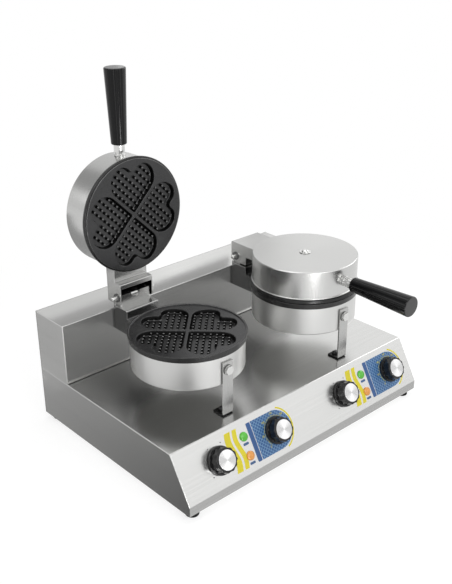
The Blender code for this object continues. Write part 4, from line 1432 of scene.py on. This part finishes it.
world = bpy.data.worlds.new("surround")
bpy.context.scene.world = world
world.use_nodes = True
tree = world.node_tree
path = tree.nodes.new("ShaderNodeLightPath")
ambient = tree.nodes["Background"]
ambient.inputs["Color"].default_value = (1, 1, 1, 1)
ambient.inputs["Strength"].default_value = 0.35
white_sky = tree.nodes.new("ShaderNodeBackground")
white_sky.inputs["Color"].default_value = (1, 1, 1, 1)
brighter = tree.nodes.new("ShaderNodeMapRange")
brighter.inputs["To Min"].default_value = 0.8
brighter.inputs["To Max"].default_value = 1.0
tree.links.new(path.outputs["Is Camera Ray"], brighter.inputs["Value"])
tree.links.new(brighter.outputs[0], white_sky.inputs["Strength"])
either = [tree.nodes.new("ShaderNodeMath") for step in range(2)]
for node in either:
    node.operation = "MAXIMUM"
tree.links.new(path.outputs["Is Camera Ray"], either[0].inputs[0])
tree.links.new(path.outputs["Is Glossy Ray"], either[0].inputs[1])
tree.links.new(either[0].outputs[0], either[1].inputs[0])
tree.links.new(path.outputs["Is Transmission Ray"], either[1].inputs[1])
pick = tree.nodes.new("ShaderNodeMixShader")
tree.links.new(either[1].outputs[0], pick.inputs[0])
tree.links.new(ambient.outputs[0], pick.inputs[1])
tree.links.new(white_sky.outputs[0], pick.inputs[2])
tree.links.new(pick.outputs[0], tree.nodes["World Output"].inputs["Surface"])


def softbox(name, place, target, width, height, power):
    data = bpy.data.lights.new(name, "AREA")
    data.shape = "RECTANGLE"
    data.size = width
    data.size_y = height
    data.energy = power
    lamp = bpy.data.objects.new(name, data)
    lamp.location = place
    aim = Vector(target) - Vector(place)
    lamp.rotation_euler = aim.to_track_quat("-Z", "Y").to_euler()
    bpy.context.scene.collection.objects.link(lamp)


def flag(name, place, target, width, height, tone, cover=None, far_tone=None):
    """A card beside the set that only the metal mirrors. With a cover it is clear from the side
    that it faces, and covers that share of what is seen through its back."""
    paper = Finish(name, None, {"Roughness": 1.0, "Specular IOR Level": 0.0})
    paper.set("Base Color", [0, 0, 0])
    paper.set("Emission Color", [tone, tone, tone])
    if far_tone:
        share = paper.spread(paper.axis(1), -height / 2, height / 2, 0, 1)
        paper.set("Emission Color", paper.mixed(share, [tone] * 3, [far_tone] * 3))
    paper.set("Emission Strength", 1.0)
    if cover:
        behind = paper.node("NewGeometry", {}, {}, "Backfacing")
        paper.set("Alpha", behind * cover)
    card = bmesh.new()
    bmesh.ops.create_grid(card, x_segments=1, y_segments=1, size=0.5)
    bmesh.ops.scale(card, vec=(width, height, 1), verts=card.verts)
    mesh = bpy.data.meshes.new(name)
    card.to_mesh(mesh)
    card.free()
    mesh.materials.append(paper.material)
    made = bpy.data.objects.new(name, mesh)
    made.location = place
    made.rotation_euler = (Vector(target) - Vector(place)).to_track_quat("Z", "Y").to_euler()
    made.visible_camera = False
    made.visible_diffuse = False
    made.visible_shadow = False
    bpy.context.scene.collection.objects.link(made)


flag("left_flag", (-0.355, 0, 0.004), (-0.355, 0, 1), 0.17, 0.66, 0.43, None, 0.06)
flag("side_flag", (-0.47, 0.48, 0.005), (-0.47, 0.48, 1), 0.30, 0.40, 0.48)
flag("back_flag", (-0.54, 0.90, 1.08), (-0.13, 0.2, 0.4), 0.72, 0.66, 0.40)
flag("edge_card", (-0.74, 0.56, 0.62), (-0.26, 0, 0.11), 0.36, 0.16, 2.0)
flag("glint_card", (-0.77, -0.20, 1.27), (-0.13, 0.05, 0.3), 0.50, 0.30, 5)
flag("grip_card", (-0.25, -0.75, 0.10), (-0.13, 0.13, 0.3), 0.14, 0.24, 14)
flag("lip_flag", (0.03, -0.205, 0.004), (0.03, -0.205, 1), 0.60, 0.07, 0.66)
flag("rear_flag", (0.45, 0.75, 0.004), (0.45, 0.75, 1), 1.1, 0.80, 0.12)
flag("box_flag", (0, box_low.y - 0.005, 0.153), (0, -1, 0.153), 0.53, 0.104, 0.16, 0.75)
flag("deck_flag", (-0.05, 0.226, 0.30), (-0.05, -1, 0.30), 0.44, 0.13, 0.42)
flag("back_sheet", (0.95, 1.30, 0.88), (0, 0.2, 0.2), 0.42, 0.30, 1.25)
flag("right_sheet", (1.35, 0.85, 0.80), (0, 0, 0.1), 0.60, 0.90, 1.15)
flag("front_sheet", (1.20, -1.40, 0.80), (0, -0.1, 0.1), 1.6, 1.2, 1.22)
softbox("front_lamp", (-0.2, -1.8, 1.3), (0, 0, 0.1), 1.6, 1.0, 12)
softbox("right_lamp", (1.8, -0.3, 1.2), (0, 0, 0.1), 1.2, 1.2, 11)
softbox("left_lamp", (-1.8, 0.3, 1.4), (0, 0, 0.2), 0.8, 1.2, 5)
softbox("top_lamp", (0.2, 0.3, 2.2), (0, 0, 0.1), 1.4, 1.4, 9)
